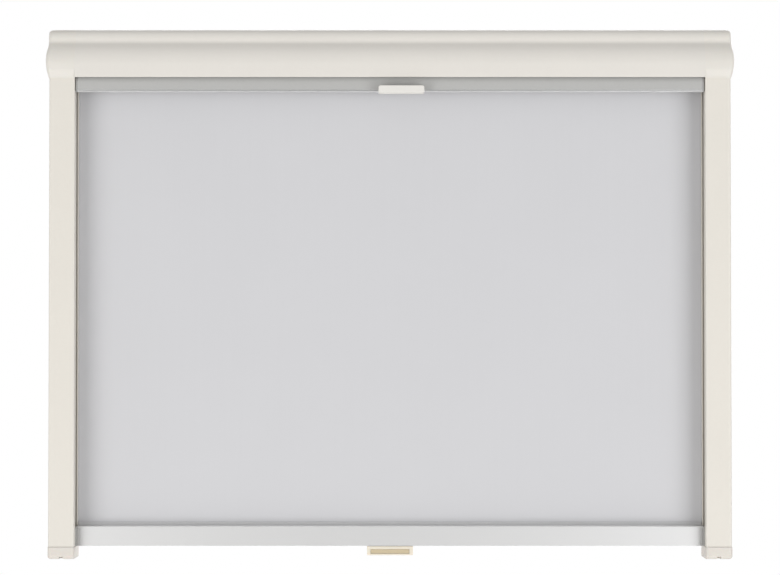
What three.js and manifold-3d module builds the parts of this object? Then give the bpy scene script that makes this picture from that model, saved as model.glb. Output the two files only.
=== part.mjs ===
// Day and night roller blind for a caravan window: a cassette with two sprung rollers, one for a
// blackout cloth and one for a fly screen, above two side rails that guide both pull bars.
//
// Sizes are in millimetres. +Z is up and +X is to the right as seen from the room. The wall is the
// plane y = 0 and the room lies towards -Y, so a depth, which is counted from the wall towards the
// room, is -y. The origin is the middle of the cassette's wall face.

import * as THREE from "three";
import { mergeVertices } from "three/addons/utils/BufferGeometryUtils.js";
import Module from "manifold-3d";

const wasm = await Module();
wasm.setup();

// Clearances and helpers that all pieces share
const seamGap = 0.3; // between two pieces that rest on each other
const slideGap = 0.4; // between a pull bar's shoe and the channel that it runs in
const cutOverrun = 1; // how far a cutting solid passes the face that it opens
const weldDistance = 0.001;
const roundSegments = 24;
const arcSegments = 5;

// Frame
const frameWidth = 760; // over the outer faces of the side rails
const railLength = 521.6;

// Cassette cover, a two-lobed extrusion
const cassetteHeight = 54.9;
const cassetteProud = 3.5; // its front beyond the rails' fronts
const coverWall = 1.6;
const upperLobeRadius = 11;
const upperLobeShare = 0.71; // its depth, of the cassette's
const lowerLobeShare = 0.655; // its radius, of the cassette's depth
const shoulderDrop = 14.9; // foot of the upper lobe's upright front, below the top
const shoulderAngle = Math.PI / 4; // how far the slope between the lobes leans back
const lipReturn = 2.4; // depth of the cover's lower edge
const lipChamfer = 0.6;

// Cassette back plate
const plateWall = 1.6;
const plateHookDepth = 6;
const plateFootDepth = 8;
const plateFootLift = 2.7; // its foot above the cover's lower edge
const wallHoleRadius = 2.2;
const wallHoleSpacing = 180;
const wallHoleCount = 4;
const wallHoleLift = 8; // above the plate's foot

// End caps, whose sides bulge in two lobes like the cover's front
const capWall = 2;
const capDrop = 0.9; // below the cover's lower edge
const capCornerRadius = 5;
const capTopRadius = 4;
const capShoulderReach = 2.2; // the upper lobe's side beyond the rail
const capWidestReach = 4; // the lower lobe's side beyond the rail
const capWidestDrop = 35.6; // below the cassette's top
const capSideRadius = 63;
const fairingHeight = 10.6; // where the front runs back to the rail
const fairingLip = 1; // what the cap's lower edge keeps in front of the rail
const bossInset = 9; // boss faces from the rail's outer face
const bossRadius = 5.5;
const bossDepth = 6.3; // of the bores
const spigotLength = 12;
const spigotGap = 0.3;
const tabReach = 8.5; // of the tabs that lie inside the cover
const tabWall = 1.6;
const topTabDepth = 9;
const topTabSetback = 7;
const frontTabHeight = 7;
const frontTabLift = 4;
const screwTabReach = 14;
const screwTabHeight = 24;
const screwTabWall = 2.4;

// Screws that hold the caps on the back plate
const screwSpacing = 14;
const screwShankRadius = 1.5;
const screwHeadRadius = 3;
const screwHeadHeight = 2;
const screwTipCover = 0.4; // the tip stays this far in front of the wall
const screwRecessRadius = 1.1;
const screwRecessDepth = 1.1;

// Side rails, seen in plan: reaches count from a rail's outer face towards the window
const railDepth = 42;
const railFaceWidth = 28.5;
const railWall = 1.5;
const faceWall = 1.8;
const finWall = 1.3;
const railCornerRadius = 2.5;
const railEdgeRadius = 0.8;
const returnDraft = 0.3;
const beadReach = 30.4;
const beadWidth = 1.2;

// Shares of the rail's depth
const blackoutPlaneShare = 0.31; // where the blackout cloth hangs
const blackoutSlotShare = 0.095;
const beadRiseShare = 0.052;
const dividerEdgeShare = 0.143;
const screenPlaneShare = 0.845; // where the fly screen hangs
const screenSlotShare = 0.048;
const screenBarShare = 0.19;

// Feet
const footHeight = 13.5;
const footSideReach = 0.6; // beyond the rail's outer face
const footFrontReach = 0.9; // in front of the rail
const footInnerReach = 0.9; // beyond the rail's front flange
const footCornerRadius = 3.6;
const footEdgeRadius = 3.4;
const footFrontEdgeRadius = 5.5; // of the lower edge in front
const footInnerEdgeRadius = 1.2; // of the lower edge towards the window
const footNotchWidth = 4.6;
const footNotchHeight = 2.8;
const footNotchDepth = 14;
const screenStopHeight = 4;

// Cloths
const blackoutThickness = 0.4;
const screenThickness = 0.3;
const blackoutTuck = 9.5; // how far each side edge runs into its rail
const screenTuck = 12.5;

// Rollers
const tubeShare = 0.143; // tube radius, of the cassette's depth
const tubeWall = 0.8;
const tubeInset = 14; // tube ends from the rails' outer faces
const blackoutRollerDrop = 15.2; // below the cassette's top
const screenRollerDrop = 34.2;
const blackoutWrap = 0.9; // the few turns left on the tube when the cloth is down
const screenWrap = 3; // the whole fly screen, wound up
const plugLength = 14;
const plugFlange = 2;
const runningGap = 0.3;
const arborLength = 187;
const arborCollarLength = 4;
const springTubeGap = 0.6;
const springBoreShare = 0.57; // bore radius, of the spring's outer radius
const springArborGap = 0.6;
const springWire = 0.3; // by which the spring's end hooks pass the collar
const springRidgeHeight = 0.5;
const springRidges = 12;
const idlePinRadius = 2.5;
const bearingRadius = 4.2;

// Pull bars
const barWall = 1.3;
const barEndGap = 1.1; // bar end to the rail's front flange
const barSideGap = 0.7; // blackout bar to the rail's bead and divider
const barTopRadius = 1.4;
const barBottomRadius = 0.3;
const hemBoreRadius = 1.5;
const hemRodRadius = 1.2;
const hemLipWall = 0.8;
const blackoutBarHeight = 22.2;
const hemLipRise = 3.6; // of the hem's lip above the bar
const hemBoreDrop = 3.8; // of the hem's bore below the lip's top
const hemWebHeight = 1.3;
const beadGap = 0.7; // hem lip's end to the rail's bead
const screenBarHeight = 21.6;
const screenBarDrop = 16; // its lower edge below the cassette
const screenBarLipRise = 0.3;
const screenBarLipHeight = 2.3;
const screenBarLipSlope = 1.2; // height over which the face swells to the lip
const screenRebateDepth = 1.5; // of the face behind the cassette's lower edge
const screenRebateRise = 7; // height over which the face curves back
const screenRebateHeight = 4.8; // from the end of the curve to the bar's top
const barPlugWidth = 1.2; // what shows of each bar's end plugs
const tenonLength = 11;
const shoeInset = 7.5; // outer end of the blackout shoe from the rail's outer face
const shoeReach = 26; // inner end of the blackout shoe
const shoeDrop = 1.7; // shoe top below the blackout bar's top
const screenShoeInset = 6;
const screenShoeReach = 24;
const screenShoeHeight = 12.8;
const screenShoeLift = 1;
const screenTongue = 1.2;

// Grip and release button under the blackout bar
const gripWidth = 51.2;
const gripHeight = 10;
const gripProud = 0.5; // in front of the bar
const gripSetback = 0.2; // of its back from the bar's back
const gripCornerRadius = 0.9;
const gripTopWall = 3.3;
const gripLip = 1.7;
const gripSideWall = 4;
const gripBackWall = 1.9;
const buttonRecess = 0.5; // button face behind the grip's front
const buttonThickness = 2.8;
const buttonGap = 0.2;
const buttonTravel = 2.2;
const stemWidth = 10;
const stemThickness = 2.2;
const stemOverlap = 1.1; // of the stem and the button plate
const stemGap = 0.3;

// Brake that holds the blackout bar at any height: the button's fork draws two rods inwards
const rodRadius = 1.5;
const rodLift = 12.5; // above the bar's lower edge
const rodHoleRadius = 1.9;
const forkThickness = 3.1;
const forkBridgeHeight = 1.4;
const forkArmHeight = 5.3;
const forkHalfWidth = 17;
const forkMouth = 9.5; // from the middle to the arms' inner faces at the front
const wedgeGap = 0.42;
const wedgeInner = 4; // from the middle to the wedges' inner faces
const wedgeSideGap = 0.4; // wedge to the bar's inner walls
const padThickness = 3;
const padDepth = 6;
const padHeight = 14;
const padBore = 2;
const returnSpringShare = 0.37; // its radius, of the bar's inner depth
const returnSpringWall = 0.8;

// Light seals in the rails
const sealInset = 21; // outer edge from the rail's outer face
const sealInnerInset = 29.5;
const sealEndGap = 1;

// Grip on the fly screen bar
const handleWidth = 51;
const handleOffset = 12.7; // its middle to the right of the blind's middle
const handleHeight = 8.4;
const handleDrop = 2.5; // below the fly screen bar
const handleDepth = 13.3;
const handleWall = 1.8;
const handleCornerRadius = 2.8;

// Places that follow from the sizes above
const cassetteDepth = railDepth + cassetteProud;
const halfFrame = frameWidth / 2;
const cassetteTop = cassetteHeight / 2;
const cassetteBottom = -cassetteHeight / 2;
const capBottom = cassetteBottom - capDrop;
const railTop = capBottom - seamGap;
const railBottom = railTop - railLength;
const footTop = railBottom - seamGap;
const footBottom = footTop - footHeight;
const halfOpening = halfFrame - railFaceWidth;
const halfCover = halfOpening - seamGap;
const barHalfLength = halfOpening - barEndGap;
const halfTube = halfFrame - tubeInset;
const blackoutHalfWidth = halfOpening + blackoutTuck;
const screenHalfWidth = halfOpening + screenTuck;

const blackoutPlane = railDepth * blackoutPlaneShare;
const blackoutSlot = railDepth * blackoutSlotShare;
const beadRise = railDepth * beadRiseShare;
const dividerEdgeDepth = railDepth * dividerEdgeShare;
const screenPlane = railDepth * screenPlaneShare;
const screenSlot = railDepth * screenSlotShare;
const screenBarDepth = railDepth * screenBarShare;
const blackoutSlotBack = blackoutPlane - blackoutSlot / 2;
const blackoutSlotFront = blackoutPlane + blackoutSlot / 2;
const screenSlotBack = screenPlane - screenSlot / 2;
const screenSlotFront = screenPlane + screenSlot / 2;
const dividerBack = screenSlotBack - dividerEdgeDepth;
const dividerWebBack = dividerBack + (dividerEdgeDepth - finWall) / 2;
const dividerWebFront = dividerWebBack + finWall;
const chamberFront = blackoutSlotBack - finWall;
const finFront = blackoutSlotFront + finWall;
const beadFront = finFront + beadRise;
const faceBack = railDepth - faceWall;

const blackoutBarBack = beadFront + barSideGap;
const blackoutBarFront = dividerBack - barSideGap;
const blackoutBarBottom = footTop + seamGap;
const blackoutBarTop = blackoutBarBottom + blackoutBarHeight;
const blackoutCavityBack = blackoutBarBack + barWall;
const blackoutCavityFront = blackoutBarFront - barWall;
const hemLipTop = blackoutBarTop + hemLipRise;
const hemLipHalf = hemBoreRadius + hemLipWall;
const blackoutHemHeight = hemLipTop - hemBoreDrop;
const blackoutHemBottom = blackoutHemHeight - hemLipHalf;
const hemLipHalfLength = halfFrame - beadReach - beadGap;

const screenBarBack = screenPlane - screenBarDepth / 2;
const screenBarFront = screenPlane + screenBarDepth / 2;
const screenBarBottom = cassetteBottom - screenBarDrop;
const screenBarTop = screenBarBottom + screenBarHeight;
const screenHemHeight = screenBarTop - hemBoreDrop + hemLipWall / 2;

const tubeRadius = cassetteDepth * tubeShare;
const blackoutRollRadius = tubeRadius + blackoutWrap;
const screenRollRadius = tubeRadius + screenWrap;
const springRadius = tubeRadius - tubeWall - springTubeGap;
const springBoreRadius = springRadius * springBoreShare;
const arborRadius = springBoreRadius - springArborGap;
const arborCollarRadius = springRadius - springWire;
const blackoutRoller = {
  depth: blackoutPlane + blackoutThickness / 2 + seamGap + blackoutRollRadius,
  height: cassetteTop - blackoutRollerDrop,
};
const screenRoller = {
  depth: screenPlane - screenThickness / 2 - seamGap - screenRollRadius,
  height: cassetteTop - screenRollerDrop,
};

const rodDepth = (blackoutCavityBack + blackoutCavityFront) / 2;
const rodHeight = blackoutBarBottom + rodLift;

// Materials, with the colours that show in soft daylight
function finish(color, roughness, metalness) {
  return () => new THREE.MeshStandardMaterial({ color, roughness, metalness });
}
const creamPaint = finish(0xe4e0d6, 0.45, 0);
const creamPlastic = finish(0xe5e1d8, 0.5, 0);
const silverAluminium = finish(0xc9cacc, 0.32, 0.9);
const millAluminium = finish(0xb4b6b8, 0.45, 0.85);
const greyPlastic = finish(0xb3b2b0, 0.55, 0);
const whitePlastic = finish(0xf0eeea, 0.4, 0);
const beigePlastic = finish(0xcfbf9f, 0.5, 0);
const naturalNylon = finish(0xe9e6da, 0.5, 0);
const blackRubber = finish(0x2c2c2e, 0.85, 0);
const springSteel = finish(0x8a8d90, 0.35, 0.9);
const zincSteel = finish(0xb9bbb6, 0.4, 0.85);
const silverCloth = finish(0xd5d6d8, 0.7, 0);
const greyMesh = finish(0x6c6f72, 0.8, 0);
const greyPile = finish(0x77797b, 0.95, 0);

// Joining and cutting

// The closed geometry as a solid that can be joined and cut.
function solidOf(geometry) {
  const bare = geometry.index ? geometry.toNonIndexed() : geometry.clone();
  bare.deleteAttribute("normal");
  bare.deleteAttribute("uv");
  const merged = mergeVertices(bare, weldDistance);
  const vertProperties = merged.attributes.position.array;
  const triVerts = new Uint32Array(merged.index.array);
  return new wasm.Manifold(new wasm.Mesh({ numProp: 3, vertProperties, triVerts }));
}

// The solid's surface as a geometry.
function geometryOf(solid) {
  const { vertProperties, triVerts } = solid.getMesh();
  const geometry = new THREE.BufferGeometry();
  geometry.setAttribute("position", new THREE.BufferAttribute(new Float32Array(vertProperties), 3));
  geometry.setIndex(new THREE.BufferAttribute(new Uint32Array(triVerts), 1));
  geometry.computeVertexNormals();
  return geometry;
}

function join(...geometries) {
  const solids = geometries.map(solidOf);
  return geometryOf(solids.reduce((whole, piece) => whole.add(piece)));
}

function cut(geometry, ...cutters) {
  const solids = cutters.map(solidOf);
  return geometryOf(solids.reduce((whole, cutter) => whole.subtract(cutter), solidOf(geometry)));
}

// Basic forms

// A box between two x places, two depths and two heights, in any order.
function block([xA, xB], [depthA, depthB], [heightA, heightB]) {
  const box = new THREE.BoxGeometry(
    Math.abs(xB - xA),
    Math.abs(depthB - depthA),
    Math.abs(heightB - heightA),
  );
  return box.translate((xA + xB) / 2, -(depthA + depthB) / 2, (heightA + heightB) / 2);
}

// A shape drawn in depth and height, carried from one x to another.
function acrossX(shape, [xA, xB]) {
  const length = Math.abs(xB - xA);
  const settings = { depth: length, bevelEnabled: false, curveSegments: arcSegments };
  const geometry = new THREE.ExtrudeGeometry(shape, settings);
  const depthAxis = new THREE.Vector3(0, -1, 0);
  const heightAxis = new THREE.Vector3(0, 0, 1);
  const widthAxis = new THREE.Vector3(-1, 0, 0);
  geometry.applyMatrix4(new THREE.Matrix4().makeBasis(depthAxis, heightAxis, widthAxis));
  return geometry.translate(Math.max(xA, xB), 0, 0);
}

// A shape drawn in plan, as x and -depth, carried from one height to another.
function upZ(shape, [bottom, top]) {
  const settings = { depth: top - bottom, bevelEnabled: false, curveSegments: arcSegments };
  return new THREE.ExtrudeGeometry(shape, settings).translate(0, 0, bottom);
}

// A profile of [x, radius] points, turned round the x axis. It runs towards +x on its outside, and
// closes on itself or on the axis.
function turned(profile) {
  const points = profile.map(([along, radius]) => new THREE.Vector2(radius, along));
  return new THREE.LatheGeometry(points, roundSegments).rotateZ(-Math.PI / 2);
}

// A round bar along x, at a depth and height.
function roundBar(radius, [xA, xB], depth, height) {
  const geometry = new THREE.CylinderGeometry(radius, radius, Math.abs(xB - xA), roundSegments);
  return geometry.rotateZ(Math.PI / 2).translate((xA + xB) / 2, -depth, height);
}

// A round bar along the depth, at an x and height.
function roundPeg(radius, [depthA, depthB], x, height) {
  const geometry = new THREE.CylinderGeometry(radius, radius, Math.abs(depthB - depthA), roundSegments);
  return geometry.translate(x, -(depthA + depthB) / 2, height);
}

// A closed solid through rings of points, lowest ring first, each going round counter-clockwise
// as seen from above. The end rings are convex, so each is closed by a fan.
function loft(rings) {
  const count = rings[0].length;
  const positions = rings.flat(2);
  const faces = [];
  for (let level = 1; level < rings.length; level += 1) {
    const low = (level - 1) * count;
    const high = level * count;
    for (let i = 0; i < count; i += 1) {
      const next = (i + 1) % count;
      faces.push(low + i, low + next, high + next, low + i, high + next, high + i);
    }
  }
  const last = (rings.length - 1) * count;
  for (let i = 2; i < count; i += 1) {
    faces.push(0, i, i - 1, last, last + i - 1, last + i);
  }
  const geometry = new THREE.BufferGeometry();
  geometry.setAttribute("position", new THREE.Float32BufferAttribute(positions, 3));
  geometry.setIndex(faces);
  return geometry;
}

// A plain tube along x between two radii.
function sleeve([inner, outer], [xA, xB]) {
  return turned([
    [xA, inner],
    [xA, outer],
    [xB, outer],
    [xB, inner],
    [xA, inner],
  ]);
}

function part(name, material, geometry, place = [0, 0, 0]) {
  const mesh = new THREE.Mesh(geometry, material());
  mesh.name = name;
  mesh.position.set(...place);
  return mesh;
}

function group(...members) {
  return new THREE.Group().add(...members.flat());
}

// Left is -1 and right is +1. A reach runs from a rail's outer face towards the window.
const sides = [
  { side: -1, word: "left" },
  { side: 1, word: "right" },
];

function atReach(side, reach) {
  return side * (halfFrame - reach);
}

// Cassette

// The centres of the two lobes' arcs. The slope that leaves the upper lobe's foot touches the lower
// lobe, which sets the height of its centre.
const upperLobeDepth = cassetteDepth * upperLobeShare;
const lowerLobeRadius = cassetteDepth * lowerLobeShare;
const upperLobe = { depth: upperLobeDepth - upperLobeRadius, height: cassetteTop - upperLobeRadius };
const lowerLobe = { depth: cassetteDepth - lowerLobeRadius };
const shoulderAcross = (upperLobeDepth - lowerLobe.depth) * Math.cos(shoulderAngle);
const shoulderFall = (lowerLobeRadius - shoulderAcross) / Math.sin(shoulderAngle);
lowerLobe.height = cassetteTop - shoulderDrop - shoulderFall;

// The height where the slope between the lobes meets the upper lobe's upright front.
function cornerHeight(inset) {
  const across = (upperLobeDepth - inset - lowerLobe.depth) * Math.cos(shoulderAngle);
  return lowerLobe.height + (lowerLobeRadius - inset - across) / Math.sin(shoulderAngle);
}

// Points of the cover's front from its top edge down to the lip, set in by a wall.
function coverFront(inset) {
  const points = [];
  const steps = 2 * arcSegments;
  for (let i = 0; i <= steps; i += 1) {
    const angle = (Math.PI / 2) * (1 - i / steps);
    points.push([
      upperLobe.depth + (upperLobeRadius - inset) * Math.cos(angle),
      upperLobe.height + (upperLobeRadius - inset) * Math.sin(angle),
    ]);
  }
  points.push([upperLobeDepth - inset, cornerHeight(inset)]);
  for (let i = 0; i <= steps; i += 1) {
    const angle = shoulderAngle * (1 - i / steps);
    points.push([
      lowerLobe.depth + (lowerLobeRadius - inset) * Math.cos(angle),
      lowerLobe.height + (lowerLobeRadius - inset) * Math.sin(angle),
    ]);
  }
  return points;
}

function shapeOf(points) {
  return new THREE.Shape(points.map(([a, b]) => new THREE.Vector2(a, b)));
}

function cassetteCover() {
  const section = [
    [0, cassetteTop],
    ...coverFront(0),
    [cassetteDepth, cassetteBottom + lipChamfer],
    [cassetteDepth - lipChamfer, cassetteBottom],
    [cassetteDepth - lipReturn, cassetteBottom],
    [cassetteDepth - lipReturn, cassetteBottom + coverWall],
    [cassetteDepth - coverWall, cassetteBottom + coverWall],
    ...coverFront(coverWall).reverse(),
    [0, cassetteTop - coverWall],
  ];
  return acrossX(shapeOf(section), [-halfCover, halfCover]);
}

function cassetteBackPlate() {
  const top = cassetteTop - coverWall - seamGap;
  const bottom = cassetteBottom + plateFootLift;
  const section = [
    [0, top],
    [plateHookDepth, top],
    [plateHookDepth, top - plateWall],
    [plateWall, top - plateWall],
    [plateWall, bottom + plateWall],
    [plateFootDepth, bottom + plateWall],
    [plateFootDepth, bottom],
    [0, bottom],
  ];
  const plate = acrossX(shapeOf(section), [-halfCover, halfCover]);
  const through = [-cutOverrun, plateWall + cutOverrun];
  const wallHoles = [];
  for (let i = 0; i < wallHoleCount; i += 1) {
    const x = (i - (wallHoleCount - 1) / 2) * wallHoleSpacing;
    wallHoles.push(roundPeg(wallHoleRadius, through, x, bottom + wallHoleLift));
  }
  const screwHoles = screwPlaces().map(({ x, height }) =>
    roundPeg(screwShankRadius + seamGap, through, x, height),
  );
  return cut(plate, ...wallHoles, ...screwHoles);
}

// The four places where a screw holds an end cap's tab on the back plate.
function screwPlaces() {
  const x = halfOpening - screwTabReach / 2;
  return sides.flatMap(({ side, word }) => [
    { side, word: word + "_upper", x: side * x, height: screwSpacing / 2 },
    { side, word: word + "_lower", x: side * x, height: -screwSpacing / 2 },
  ]);
}

const screwTabBack = plateWall + seamGap;
const screwTabFront = screwTabBack + screwTabWall;

function capScrew() {
  const seat = screwTabFront + seamGap;
  const shank = roundPeg(screwShankRadius, [screwTipCover, seat + seamGap], 0, 0);
  const head = roundPeg(screwHeadRadius, [seat, seat + screwHeadHeight], 0, 0);
  const recess = [seat + screwHeadHeight - screwRecessDepth, seat + screwHeadHeight + cutOverrun];
  return cut(join(shank, head), roundPeg(screwRecessRadius, recess, 0, 0));
}

// End caps

// How far the cap's front stands from the wall at a height, set in by a wall. Its lowest stretch
// runs back in a soft curve until it is only a lip in front of the rail.
function capFrontDepth(height, inset) {
  if (height >= upperLobe.height) {
    const rise = Math.min(height - upperLobe.height, upperLobeRadius - inset);
    return upperLobe.depth + Math.sqrt((upperLobeRadius - inset) ** 2 - rise ** 2);
  }
  if (height >= cornerHeight(inset)) return upperLobeDepth - inset;
  const arcTop = lowerLobe.height + (lowerLobeRadius - inset) * Math.sin(shoulderAngle);
  if (height >= arcTop) {
    const rise = height - lowerLobe.height;
    const along = lowerLobeRadius - inset - rise * Math.sin(shoulderAngle);
    return lowerLobe.depth + along / Math.cos(shoulderAngle);
  }
  if (height >= lowerLobe.height) {
    const rise = height - lowerLobe.height;
    return lowerLobe.depth + Math.sqrt((lowerLobeRadius - inset) ** 2 - rise ** 2);
  }
  const fall = capBottom + fairingHeight - height;
  const setback = THREE.MathUtils.smoothstep(fall, 0, fairingHeight);
  return cassetteDepth - inset - (cassetteDepth - railDepth - fairingLip) * setback;
}

// How far the cap's side reaches from the blind's middle at a height, set in by a wall.
function capSideReach(height, inset) {
  const cornerCentre = cassetteTop - capTopRadius;
  const shoulder = halfFrame + capShoulderReach;
  const centre = halfFrame + capWidestReach - capSideRadius;
  const rise = height - (cassetteTop - capWidestDrop);
  const bulge = centre + Math.sqrt((capSideRadius - inset) ** 2 - rise ** 2);
  if (rise < 0 || bulge > shoulder - inset) return bulge;
  const lift = THREE.MathUtils.clamp(height - cornerCentre, 0, capTopRadius - inset);
  return shoulder - capTopRadius + Math.sqrt((capTopRadius - inset) ** 2 - lift ** 2);
}

// The heights at which the cap is sliced: close together where it curves.
function capHeights(inset, bottom) {
  const heights = [bottom];
  const fairingSteps = 5;
  for (let i = 1; i <= fairingSteps; i += 1) {
    heights.push(capBottom + (fairingHeight * i) / fairingSteps);
  }
  const steps = 2 * arcSegments;
  for (let i = 0; i <= steps; i += 1) {
    const angle = (shoulderAngle * i) / steps;
    heights.push(lowerLobe.height + (lowerLobeRadius - inset) * Math.sin(angle));
  }
  heights.push(cornerHeight(inset));
  for (let i = 0; i <= steps; i += 1) {
    const angle = (Math.PI / 2) * (i / steps);
    heights.push(upperLobe.height + (upperLobeRadius - inset) * Math.sin(angle));
  }
  return heights;
}

// One slice of the cap: from its inner edge along the front, round the corner, back to the wall.
function capRing(side, height, inset, innerX, backDepth) {
  const front = capFrontDepth(Math.max(height, capBottom), inset);
  const reach = capSideReach(Math.max(height, capBottom), inset);
  const radius = capCornerRadius - inset;
  const points = [[innerX, -front, height]];
  for (let i = 0; i <= arcSegments; i += 1) {
    const angle = (Math.PI / 2) * (i / arcSegments);
    const x = reach - radius * (1 - Math.sin(angle));
    points.push([x, -front + radius * (1 - Math.cos(angle)), height]);
  }
  points.push([reach, -backDepth, height]);
  points.push([innerX, -backDepth, height]);
  const placed = points.map(([x, y, z]) => [side * x, y, z]);
  return side > 0 ? placed : placed.reverse();
}

function capForm(side, inset, bottom, innerX, backDepth) {
  const heights = capHeights(inset, bottom);
  return loft(heights.map((height) => capRing(side, height, inset, innerX, backDepth)));
}

// Where an end cap carries the rollers: bores for fixed arbors on the left, bearings on the right.
function capBosses(side, boreRadius) {
  const face = halfFrame - bossInset;
  const rollers = [blackoutRoller, screenRoller];
  const bosses = rollers.map(({ depth, height }) => {
    const end = capSideReach(height, 0) - capWall / 2;
    return roundBar(bossRadius, [side * face, side * end], depth, height);
  });
  const bores = rollers.map(({ depth, height }) =>
    roundBar(boreRadius, [side * (face - cutOverrun), side * (face + bossDepth)], depth, height),
  );
  return { bosses, bores };
}

// The plug that fits a rail's rear chamber, from a height down or up into the rail.
function chamberSpigot(side, heights) {
  const inside = [atReach(side, railWall + spigotGap), atReach(side, beadReach - railWall - spigotGap)];
  return block(inside, [railWall + spigotGap, chamberFront - spigotGap], heights);
}

function capTabs(side) {
  const root = side * (halfOpening + capWall);
  const topTab = block(
    [side * (halfOpening - tabReach), root],
    [topTabSetback, topTabSetback + topTabDepth],
    [cassetteTop - coverWall - seamGap - tabWall, cassetteTop - coverWall - seamGap],
  );
  const frontTabFace = cassetteDepth - coverWall - seamGap;
  const frontTabBottom = cassetteBottom + frontTabLift;
  const frontTab = block(
    [side * (halfOpening - tabReach), root],
    [frontTabFace - tabWall, frontTabFace],
    [frontTabBottom, frontTabBottom + frontTabHeight],
  );
  const screwTab = block(
    [side * (halfOpening - screwTabReach), root],
    [screwTabBack, screwTabFront],
    [-screwTabHeight / 2, screwTabHeight / 2],
  );
  return [topTab, frontTab, screwTab];
}

function endCap(side) {
  const boreRadius = (side < 0 ? arborRadius : bearingRadius) + runningGap;
  const { bosses, bores } = capBosses(side, boreRadius);
  const outer = capForm(side, 0, capBottom, halfOpening, 0);
  const inner = capForm(side, capWall, capBottom - cutOverrun, halfOpening - cutOverrun, capWall);
  const spigot = chamberSpigot(side, [capBottom - spigotLength, capBottom + capWall]);
  const screwHoles = screwPlaces()
    .filter((place) => place.side === side)
    .map(({ x, height }) =>
      roundPeg(screwShankRadius + seamGap, [0, screwTabFront + cutOverrun], x, height),
    );
  const shell = cut(outer, inner);
  return cut(join(shell, ...bosses, spigot, ...capTabs(side)), ...bores, ...screwHoles);
}

// Side rails

// The rail's section in plan: a face with a short return, a divider with a flanged edge between
// the two bars' channels, a fin with a bead, the cloth's slot and a closed chamber at the wall.
function railSection(side) {
  const at = (reach, depth) => [atReach(side, reach), -depth];
  const shape = new THREE.Shape();
  const outline = [
    [railFaceWidth + returnDraft, screenSlotFront],
    [railFaceWidth - railWall, screenSlotFront],
    [railFaceWidth - railWall, faceBack],
    [railWall, faceBack],
    [railWall, dividerWebFront],
    [railFaceWidth + returnDraft - railWall, dividerWebFront],
    [railFaceWidth + returnDraft - railWall, screenSlotBack],
    [railFaceWidth + returnDraft, screenSlotBack],
    [railFaceWidth + returnDraft, dividerBack],
    [railFaceWidth + returnDraft - railWall, dividerBack],
    [railFaceWidth + returnDraft - railWall, dividerWebBack],
    [railWall, dividerWebBack],
    [railWall, finFront],
    [beadReach - beadWidth, finFront],
    [beadReach - beadWidth, beadFront],
    [beadReach, beadFront],
    [beadReach, blackoutSlotFront],
    [railWall, blackoutSlotFront],
    [railWall, blackoutSlotBack],
    [beadReach, blackoutSlotBack],
    [beadReach, 0],
  ];
  shape.moveTo(...at(0, 0));
  shape.lineTo(...at(0, railDepth - railCornerRadius));
  shape.quadraticCurveTo(...at(0, railDepth), ...at(railCornerRadius, railDepth));
  shape.lineTo(...at(railFaceWidth - railEdgeRadius, railDepth));
  shape.quadraticCurveTo(
    ...at(railFaceWidth, railDepth),
    ...at(railFaceWidth, railDepth - railEdgeRadius),
  );
  outline.forEach(([reach, depth]) => shape.lineTo(...at(reach, depth)));
  shape.closePath();
  const chamber = [
    at(railWall, railWall),
    at(beadReach - railWall, railWall),
    at(beadReach - railWall, chamberFront),
    at(railWall, chamberFront),
  ];
  shape.holes.push(new THREE.Path(chamber.map(([x, y]) => new THREE.Vector2(x, y))));
  return shape;
}

function sideRail(side) {
  return upZ(railSection(side), [railBottom, railTop]);
}

function pileSeal(side) {
  const across = [atReach(side, sealInset), atReach(side, sealInnerInset)];
  const depths = [blackoutPlane + blackoutThickness / 2 + seamGap, blackoutSlotFront - seamGap];
  return block(across, depths, [railBottom + sealEndGap, railTop - sealEndGap]);
}

// Feet

// How far a foot's side is set in at a height, where its lower edge is rounded.
function footInset(edgeRadius, height) {
  const under = Math.max(edgeRadius - (height - footBottom), 0);
  return edgeRadius - Math.sqrt(edgeRadius ** 2 - under ** 2);
}

// One slice of the foot: rounded at its two front corners, and set in where the lower edge rounds.
function footRing(side, height) {
  const inset = footInset(footEdgeRadius, height);
  const inner = halfOpening - footInnerReach + footInset(footInnerEdgeRadius, height);
  const outer = halfFrame + footSideReach - inset;
  const front = railDepth + footFrontReach - footInset(footFrontEdgeRadius, height);
  const radius = footCornerRadius - inset;
  const points = [];
  for (let i = 0; i <= arcSegments; i += 1) {
    const angle = (Math.PI / 2) * (i / arcSegments);
    const x = inner + radius * (1 - Math.sin(angle));
    points.push([x, -front + radius * (1 - Math.cos(angle)), height]);
  }
  points.reverse();
  for (let i = 0; i <= arcSegments; i += 1) {
    const angle = (Math.PI / 2) * (i / arcSegments);
    const x = outer - radius * (1 - Math.sin(angle));
    points.push([x, -front + radius * (1 - Math.cos(angle)), height]);
  }
  points.push([outer, 0, height], [inner, 0, height]);
  const placed = points.map(([x, y, z]) => [side * x, y, z]);
  return side > 0 ? placed : placed.reverse();
}

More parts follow.
